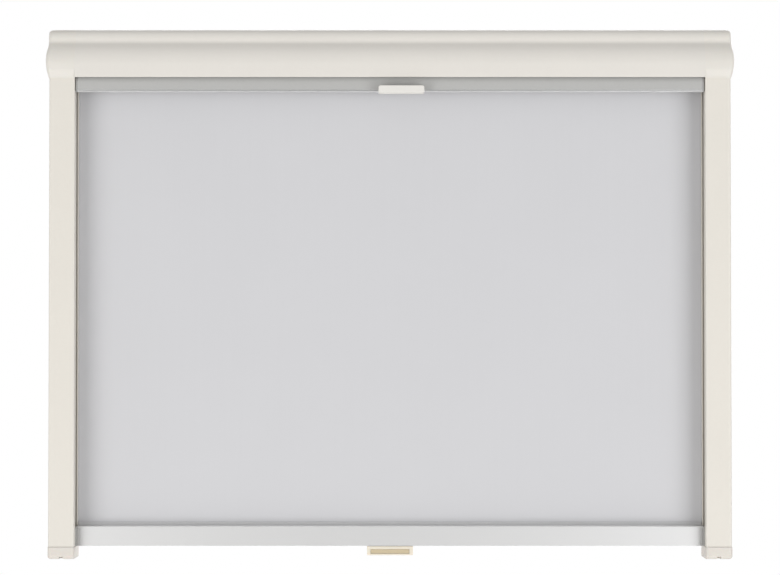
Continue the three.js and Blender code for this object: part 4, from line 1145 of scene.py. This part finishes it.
@dataclass(frozen=True)
class SideRails:
    """The two painted rails with their feet and brush seals."""

    half_width: float = 0.380
    depth: float = 0.042
    face_width: float = 0.0285
    wall: float = 0.0015
    face_wall: float = 0.0018
    fin: float = 0.0013
    corner: float = 0.0025
    edge: float = 0.0008
    draft: float = 0.0003
    bead_reach: float = 0.0304
    bead_width: float = 0.0012
    bead_rise: float = depth * 0.052
    blackout_plane: float = depth * 0.31
    blackout_slot: float = depth * 0.095
    screen_plane: float = depth * 0.845
    screen_slot: float = depth * 0.048
    divider: float = depth * 0.143
    chamber_corner: float = 0.0003
    pile_rows: int = 260
    pile_wander: float = 0.0006
    pile_seed: int = 7

    def build(self) -> None:
        """Builds both rails and seals, and finishes the feet."""
        for side in Side:
            self.build_rail(side)
            self.build_seal(side)
            # The feet take the darker copy of the cream moulding, whose colour holds painted shade.
            dress(f"rail_foot_{side.word}", FOOT_MOULDING_PAINTED_SHADE, edge=0.0003)

    def outline(self) -> Array:
        """The rail's outer section: its front corners, then the channels down to the wall.

        Returns:
            Reaches inwards from the rail's outer face, and depths from the wall.
        """
        r, e, w, d = self.corner, self.edge, self.wall, self.depth
        face = self.face_width
        slot_back = self.screen_plane - self.screen_slot / 2
        slot_front = self.screen_plane + self.screen_slot / 2
        nose = face + self.draft
        divider_back = slot_back - self.divider
        web_back = divider_back + (self.divider - self.fin) / 2
        cloth_back = self.blackout_plane - self.blackout_slot / 2
        cloth_front = self.blackout_plane + self.blackout_slot / 2
        bead = self.bead_reach - self.bead_width
        fin_front = cloth_front + self.fin
        tip = self.bead_reach
        bead_front = fin_front + self.bead_rise
        box_front = d - self.face_wall
        web_front = web_back + self.fin
        box = [[nose, slot_front], [face - w, slot_front], [face - w, box_front], [w, box_front]]
        divider = [[w, web_front], [nose - w, web_front], [nose - w, slot_back], [nose, slot_back]]
        divider_rear = [[nose, divider_back], [nose - w, divider_back]]
        web = [[nose - w, web_back], [w, web_back]]
        fin = [[w, fin_front], [bead, fin_front], [bead, bead_front], [tip, bead_front]]
        cloth_slot = [[tip, cloth_front], [w, cloth_front], [w, cloth_back], [tip, cloth_back]]
        outer = arc((r, d - r), r, 180, 90, steps=10)
        inner = arc((face - e, d - e), e, 90, 0, steps=6)
        channels = box + divider + divider_rear + web + fin + cloth_slot
        return np.concatenate([[[0.0, 0.0]], outer, inner, channels, [[tip, 0.0]]])

    def build_rail(self, side: Side) -> None:
        """Carries the rail's section, with its closed rear chamber, along z.

        Args:
            side: Which side.
        """
        low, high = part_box(f"side_rail_{side.word}")
        opposite = (
            self.bead_reach - self.wall,
            self.blackout_plane - self.blackout_slot / 2 - self.fin,
        )
        chamber = oblong((self.wall, self.wall), opposite, self.chamber_corner)
        loops = []
        for loop in (self.outline(), chamber):
            x = side.value * (self.half_width - loop[:, 0])
            loops.append(np.stack([x, -loop[:, 1]], axis=1))
        surface = carried(loops, Axis.Z, [low.z, high.z])
        rail = skin(f"side_rail_{side.word}_extrusion", [surface], CREAM_PAINT)
        soften(rail, width=0.0002, angle=60.0)
        mount(rail, "frame", f"side_rail_{side.word}")

    def build_seal(self, side: Side) -> None:
        """A strip of pile whose tips wander: reach = a straight edge plus small seeded noise.

        Args:
            side: Which side.
        """
        low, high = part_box(f"blackout_pile_seal_{side.word}")
        tip, root = sorted([low.x, high.x], key=abs)
        rows = self.pile_rows
        random = np.random.default_rng(self.pile_seed)
        wander = random.uniform(0.0, self.pile_wander, (rows, 2)) * -np.sign(tip)
        x = np.full((rows, 4), root)
        x[:, 1:3] = tip - wander
        y = np.broadcast_to(np.array([high.y, high.y, low.y, low.y]), x.shape)
        z = np.broadcast_to(np.linspace(low.z, high.z, rows)[:, None], x.shape)
        points = np.stack([x, y, z], axis=-1).reshape(-1, 3)
        ends = np.arange(4) + np.array([[0], [(rows - 1) * 4]])
        faces = listed(grid_faces(rows, 4, True), ends)
        seal = skin(f"blackout_pile_seal_{side.word}_brush", [Surface(points, faces)], PILE)
        mount(seal, "frame", f"blackout_pile_seal_{side.word}")


# Rollers and cloths


@dataclass(frozen=True)
class ClothRoller:
    """One sprung roller: its tube, plugs, arbor and spring, and the turns of cloth on it."""

    name: str
    roll: str
    cloth: Finish
    thickness: float
    turns: float
    leaves_at: float
    steps_per_turn: int = 48
    tube_gap: float = 0.00005
    wire_radius: float = 0.00055
    coil_pitch: float = wire_radius * 2.6

    def build(self) -> None:
        """Builds the wound turns and the spring, and finishes the rest."""
        self.build_roll()
        self.build_spring()
        dress(f"{self.name}_roller_tube", MILL_TUBE, edge=0.0001)
        dress(f"{self.name}_spring_plug", NYLON, edge=0.0002)
        dress(f"{self.name}_idle_plug", NYLON, edge=0.0002)
        dress(f"{self.name}_spring_arbor", SPRING_STEEL, edge=0.0001)
        dress(f"{self.name}_idle_bearing", GREY_MOULDING, edge=0.0002)

    def build_roll(self) -> None:
        """The wound turns: a spiral r = r0 + (r1 - r0) t from the tube out, carried along x."""
        low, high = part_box(self.roll)
        outer, centre = (high.z - low.z) / 2, ((low.y + high.y) / 2, (low.z + high.z) / 2)
        tube_low, tube_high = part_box(f"{self.name}_roller_tube")
        inner = (tube_high.z - tube_low.z) / 2 + self.tube_gap
        t = np.linspace(0, 1, int(self.steps_per_turn * self.turns))
        angle = math.radians(self.leaves_at) - (1 - t) * 2 * math.pi * self.turns
        radius = inner + (outer - self.thickness - inner) * t
        around = np.stack([np.cos(angle), np.sin(angle)], axis=1)
        inside, outside = radius[:, None] * around, (radius + self.thickness)[:, None] * around
        loop = np.concatenate([outside, inside[::-1]]) + np.array(centre)
        surface = carried([loop], Axis.X, [low.x, high.x])
        roll = skin(f"{self.roll}_wound", [surface], self.cloth)
        mount(roll, f"{self.name}_roller", self.roll)

    def build_spring(self) -> None:
        """The torsion spring: a close helix between the spring plug and the arbor's collar."""
        node = f"{self.name}_torsion_spring"
        low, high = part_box(node)
        turns = int((high.x - low.x) / self.coil_pitch)
        surface = helix(node, self.wire_radius, turns, steps=14, sides=6)
        mount(skin(f"{node}_wound", [surface], SPRING_STEEL, crease=70.0), "frame", node)


@dataclass(frozen=True)
class Wave:
    """One sine of a taut cloth's ripple: its share, its radians per metre and its phase."""

    share: float
    rate: float
    phase: float = 0.0

    def stray(self, x: Array) -> Array:
        """The share times sin(rate x + phase)."""
        return self.share * np.sin(x * self.rate + self.phase)


@dataclass(frozen=True)
class Cloths:
    """The blackout cloth and the fly screen's mesh, each a thin taut sheet."""

    ripple: float = 0.00025
    blackout_thickness: float = 0.00035
    mesh_thickness: float = 0.00025
    hem_grip: float = 0.0005
    waves: tuple[Wave, ...] = (Wave(share=0.6, rate=21.0), Wave(share=0.4, rate=47.0, phase=1.3))

    def build(self) -> None:
        self.build_blackout()
        self.build_mesh()

    def sheet(self, node: str, thickness: float, columns: int, rows: int, ripple: float) -> Surface:
        """A taut sheet: y = middle + ripple times a sum of sines of x times a sine of the drop.

        Args:
            node: The node whose place the sheet takes.
            thickness: Its thickness.
            columns: Number of points across.
            rows: Number of points down.
            ripple: How far it strays from flat.

        Returns:
            The closed thin surface.
        """
        low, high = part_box(node)
        x, z = np.meshgrid(np.linspace(low.x, high.x, columns), np.linspace(low.z, high.z, rows))
        drop = (z - low.z) / (high.z - low.z)
        stray = sum(wave.stray(x) for wave in self.waves)
        y = (low.y + high.y) / 2 + ripple * stray * np.sin(math.pi * drop)
        front = np.stack([x, y - thickness / 2, z], axis=-1).reshape(-1, 3)
        back = np.stack([x, y + thickness / 2, z], axis=-1).reshape(-1, 3)
        count = columns * rows
        quads = grid_faces(rows, columns, False)
        bottom, left = np.arange(columns), np.arange(rows) * columns
        right, top = left[1:] + columns - 1, bottom[::-1][1:] + left[-1]
        edge = np.concatenate([bottom, right, top, left[::-1][1:]])
        faces = listed(quads, quads + count, rim_faces(edge, count))
        return Surface(np.concatenate([front, back]), faces)

    def build_blackout(self) -> None:
        """The blackout cloth, a thin sheet that rides on the frame."""
        surface = self.sheet(
            "blackout_cloth", self.blackout_thickness, columns=181, rows=61, ripple=self.ripple
        )
        cloth = skin("blackout_cloth_sheet", [surface], BLACKOUT)
        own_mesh(cloth)
        mount(cloth, "frame", "blackout_cloth")

    def build_mesh(self) -> None:
        """The fly screen's mesh, a thin sheet put in its node's place."""
        surface = self.sheet(
            "fly_screen_mesh", self.mesh_thickness, columns=25, rows=81, ripple=0.0
        )
        mesh = skin("fly_screen_mesh_sheet", [surface], FLY_MESH)
        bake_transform(mesh)
        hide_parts("fly_screen_mesh")
        log.info("%s stretches from frame to screen_bar", mesh.name)


# Pull bars


@dataclass(frozen=True)
class PullBars:
    """Both pull bars with their plugs and grips, and the brake inside the blackout bar."""

    wall: float = 0.0013
    top_radius: float = 0.0014
    bottom_radius: float = 0.0003
    bore_radius: float = 0.0015
    bore_drop: float = 0.0038
    lip_half: float = 0.0023
    lip_rise: float = 0.0036
    web_lift: float = 0.0013
    blackout_slot: float = 0.001
    blackout_depth: float = 0.008577
    screen_slot: float = 0.0009
    screen_lip_rise: float = 0.0003
    screen_lip_height: float = 0.0023
    screen_lip_slope: float = 0.0012
    screen_bore_lift: float = 0.0004
    rebate_depth: float = 0.0015
    rebate_rise: float = 0.007
    rebate_height: float = 0.0048
    cavity_corner: float = 0.0003
    spring_wire: float = 0.00035
    spring_turns: int = 5
    spring_pressed: float = 0.42

    def build(self) -> None:
        """Builds the two bars and the return spring anew, and finishes the rest."""
        self.build_blackout_bar()
        self.build_screen_bar()
        for bar in ("blackout", "screen"):
            dress(f"{bar}_hem_rod", NYLON)
            for side in Side:
                dress(f"{bar}_bar_plug_{side.word}", GREY_MOULDING, 0.0002)
        dress("blackout_grip", GRIP_MOULDING, 0.0005)
        dress("release_button", BEIGE_MOULDING, 0.0003)
        dress("screen_handle", WHITE_MOULDING, 0.0006)
        for side in Side:
            dress(f"brake_rod_{side.word}", ZINC)
            dress(f"brake_pad_{side.word}", PAD_RUBBER, 0.0003)
        self.build_return_spring()

    def keyhole(self, plane: float, top: float, bore: float, slot: float) -> Array:
        """The hem's slot and round bore, from the front edge of the slot to its rear edge.

        Args:
            plane: Depth of the cloth.
            top: Height of the slot's mouth.
            bore: Height of the bore's middle.
            slot: Width of the slot.

        Returns:
            Depths and heights.
        """
        turn = math.degrees(math.asin(slot / 2 / self.bore_radius))
        round_bore = arc((plane, bore), self.bore_radius, 90 - turn, -270 + turn, steps=28)
        return np.concatenate([[[plane + slot / 2, top]], round_bore, [[plane - slot / 2, top]]])

    def carry_bar(
        self, node: str, body: str, finish: Finish, section: Array, cavity: Array
    ) -> None:
        """Carries a bar's section and its hollow along x, in the place of its node.

        Args:
            node: The bar's node.
            body: The body that it rides on.
            finish: What it is finished in.
            section: Depths and heights of the outline.
            cavity: Depths and heights of the hollow.
        """
        low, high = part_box(node)
        flip = np.array([-1.0, 1.0])
        surface = carried([section * flip, cavity * flip], Axis.X, [low.x, high.x])
        bar = skin(f"{node}_extrusion", [surface], finish)
        soften(bar, width=0.00015, angle=60.0)
        mount(bar, body, node)

    def build_blackout_bar(self) -> None:
        """The blackout bar's section: a hollow box in front, and the hem's lip behind it."""
        low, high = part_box("blackout_pull_bar")
        front, back = -low.y, -low.y - self.blackout_depth
        plane = -high.y + self.lip_half
        lip_top, top, bottom = high.z, high.z - self.lip_rise, low.z
        bore = lip_top - self.bore_drop
        hem_bottom = bore - self.lip_half
        web_top, lip_front = hem_bottom + self.web_lift, plane + self.lip_half
        r, b, w = self.top_radius, self.bottom_radius, self.wall
        section = np.concatenate(
            [
                [[back, web_top], [lip_front, web_top], [lip_front, lip_top]],
                self.keyhole(plane, lip_top, bore, self.blackout_slot),
                [[plane - self.lip_half, lip_top], [plane - self.lip_half, hem_bottom]],
                [[back, hem_bottom], [back, bottom]],
                arc((front - b, bottom + b), b, -90, 0, steps=6),
                arc((front - r, top - r), r, 0, 90, steps=8),
                [[back, top]],
            ]
        )
        cavity = oblong((back + w, bottom + w), (front - w, top - w), self.cavity_corner)
        self.carry_bar("blackout_pull_bar", "blackout_bar", BLACKOUT_BAR, section, cavity)

    def build_screen_bar(self) -> None:
        """The fly screen bar's section: a flat front with a small lip along its lower edge."""
        low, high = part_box("screen_pull_bar")
        lip_front, back, bottom, top = -low.y, -high.y, low.z, high.z
        front = lip_front - self.screen_lip_rise
        plane = (front + back) / 2
        bore = top - self.bore_drop + self.screen_bore_lift
        b, w = self.bottom_radius, self.wall
        lip_top = bottom + self.screen_lip_height
        section = np.concatenate(
            [
                [[back, bottom]],
                arc((lip_front - b, bottom + b), b, -90, 0, steps=6),
                [[lip_front, lip_top - self.screen_lip_slope], [front, lip_top]],
                self.rebate(front, top - self.rebate_height),
                [[front - self.rebate_depth, top]],
                self.keyhole(plane, top, bore, self.screen_slot),
                [[back, top]],
            ]
        )
        cavity_top = top - self.rebate_height - self.rebate_rise / 2
        cavity = oblong((back + w, bottom + w), (front - w, cavity_top), self.cavity_corner)
        self.carry_bar("screen_pull_bar", "screen_bar", SCREEN_BAR, section, cavity)

    def rebate(self, front: float, top: float) -> Array:
        """Where the fly screen bar's face curves back, to pass behind the cassette's lower edge.

        Args:
            front: Depth of the flat face.
            top: Height at which the curve ends.

        Returns:
            Depths and heights: the setback grows with the square of the height in the curve.
        """
        share = np.linspace(0.0, 1.0, 13)
        depth = front - self.rebate_depth * share**2
        return np.stack([depth, top - self.rebate_rise * (1 - share)], axis=1)

    def build_return_spring(self) -> None:
        """A short open helix between the two brake rods."""
        node = "brake_return_spring"
        surface = helix(node, self.spring_wire, self.spring_turns, steps=20, sides=8)
        spring = skin(f"{node}_wound", [surface], SPRING_STEEL, crease=70.0)
        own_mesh(spring)
        mount(spring, "blackout_bar", node)


# Studio


@dataclass(frozen=True)
class Softbox:
    """A rectangular lamp: where it hangs, its width and height, its watts and its tint."""

    name: str
    place: Point
    size: Span
    watts: float
    tint: Colour = (1.0, 1.0, 1.0)

    def hang(self, aim: Vector) -> None:
        """Hangs the lamp, turned towards a point and unseen by the camera.

        Args:
            aim: The point.
        """
        data = bpy.data.lights.new(self.name, "AREA")
        data.shape = "RECTANGLE"
        data.size, data.size_y = self.size
        data.energy = self.watts
        data.color = self.tint
        lamp = bpy.data.objects.new(self.name, data)
        lamp.location = self.place
        lamp.rotation_euler = (aim - Vector(self.place)).to_track_quat("-Z", "Y").to_euler()
        lamp.visible_camera = False
        bpy.context.scene.collection.objects.link(lamp)


@dataclass(frozen=True)
class Studio:
    """Camera, lamps, world, floor and the dark board behind the camera."""

    camera_depth: float = 3.017
    camera_height: float = -0.3296
    aim_height: float = -0.26205
    rail_depth: float = 0.042
    lens: float = 123.4  # Millimetres, as the sensor's width is.
    sensor_width: float = 36.0
    clip: Span = (0.05, 60.0)
    lamp_aim: Point = (0.0, 0.0, -0.27)
    floor_height: float = -3.2
    floor_half: float = 9.0
    floor_glow: float = 0.62
    sky: float = 0.47
    flag_reach: Span = (-1.42, 1.14)
    flag_height: Span = (-2.4, 1.9)
    flag_depth: float = 3.25
    softboxes: tuple[Softbox, ...] = (
        Softbox("left_softbox", (-2.64, -3.1, -1.17), (2.2, 2.9), watts=62.0, tint=(1, 0.99, 0.97)),
        Softbox("right_softbox", (2.64, -3.1, -1.17), (2.2, 2.9), watts=68.0),
        Softbox("rear_softbox", (0.6, 2.4, 0.5), (2.6, 2.0), watts=40.0),
    )

    def build(self) -> None:
        """Sets up everything that isn't part of the blind."""
        self.build_camera()
        for softbox in self.softboxes:
            softbox.hang(Vector(self.lamp_aim))
        self.build_world()
        self.build_floor()
        self.build_flag()

    def build_camera(self) -> None:
        """A long lens from the room, a little below the blind's middle and tipped up to it."""
        data = bpy.data.cameras.new("room_camera")
        data.lens, data.sensor_width = self.lens, self.sensor_width
        data.clip_start, data.clip_end = self.clip
        camera = bpy.data.objects.new("room_camera", data)
        camera.location = (0.0, -self.camera_depth, self.camera_height)
        aim = Vector((0.0, -self.rail_depth, self.aim_height))
        camera.rotation_euler = (aim - Vector(camera.location)).to_track_quat("-Z", "Y").to_euler()
        bpy.context.scene.collection.objects.link(camera)
        bpy.context.scene.camera = camera

    def build_world(self) -> None:
        """An even sky that is white to the camera and in reflections."""
        world = bpy.data.worlds.new("studio_world")
        world.use_nodes = True
        bpy.context.scene.world = world
        nodes = Nodes(world.node_tree)
        background = nodes.tree.nodes["Background"]
        level = nodes.spread(nodes.background_rays(), low=self.sky, high=1.0)
        nodes.feed(background.inputs["Strength"], level)
        nodes.feed(background.inputs["Color"], (1.0, 1.0, 1.0, 1.0))

    def board(self, corners: Sequence[Point], shader: Shader) -> Piece:
        """A flat board of the studio, named after its material.

        Args:
            corners: Its four corners, in order.
            shader: Its material.

        Returns:
            The board.
        """
        name = shader.material.name
        mesh = bpy.data.meshes.new(name)
        mesh.from_pydata(corners, [], [(0, 1, 2, 3)])
        mesh.materials.append(shader.material)
        board = bpy.data.objects.new(name, mesh)
        bpy.context.scene.collection.objects.link(board)
        return board

    def build_floor(self) -> None:
        """A pale floor well below, mostly white to the camera, so that a shadow still shows."""
        shader = Shader("pale_floor")
        grain = shader.noise(shader.place, scale=3.0, detail=2.0)
        shader.set(
            Base_Color=shader.blend(grain, (0.86, 0.86, 0.86), (0.90, 0.90, 0.90)),
            Roughness=0.9,
            Emission_Color=(1, 1, 1, 1),
            Emission_Strength=shader.maths("MULTIPLY", shader.background_rays(), self.floor_glow),
        )
        half, height = self.floor_half, self.floor_height
        signs = ((-1, -1), (1, -1), (1, 1), (-1, 1))
        self.board([(half * a, half * b, height) for a, b in signs], shader)

    def build_flag(self) -> None:
        """A dark board right behind the camera, seen only in reflections."""
        shader = Shader("dark_flag")
        nap = shader.noise(shader.place, scale=40.0, detail=3.0)
        colour = shader.blend(nap, (0.01, 0.01, 0.01), (0.03, 0.03, 0.03))
        shader.set(Base_Color=colour, Roughness=0.95)
        (left, right), (low, high) = self.flag_reach, self.flag_height
        corners = ((left, low), (right, low), (right, high), (left, high))
        flag = self.board([(x, -self.flag_depth, z) for x, z in corners], shader)
        flag.visible_camera = flag.visible_diffuse = flag.visible_shadow = False


def main() -> None:
    """Builds the blind's sub-assemblies in order, then the studio."""
    logging.basicConfig(level=logging.INFO, format="%(name)s: %(message)s")
    bpy.context.scene.view_settings.view_transform = "Standard"
    Cassette().build()
    SideRails().build()
    ClothRoller(
        "blackout", "blackout_cloth_roll", BLACKOUT, thickness=0.00028, turns=2.5, leaves_at=0.0
    ).build()
    ClothRoller(
        "screen", "screen_mesh_roll", WOUND_MESH, thickness=0.00026, turns=9.0, leaves_at=180.0
    ).build()
    Cloths().build()
    PullBars().build()
    Studio().build()


if __name__ == "__main__":
    main()
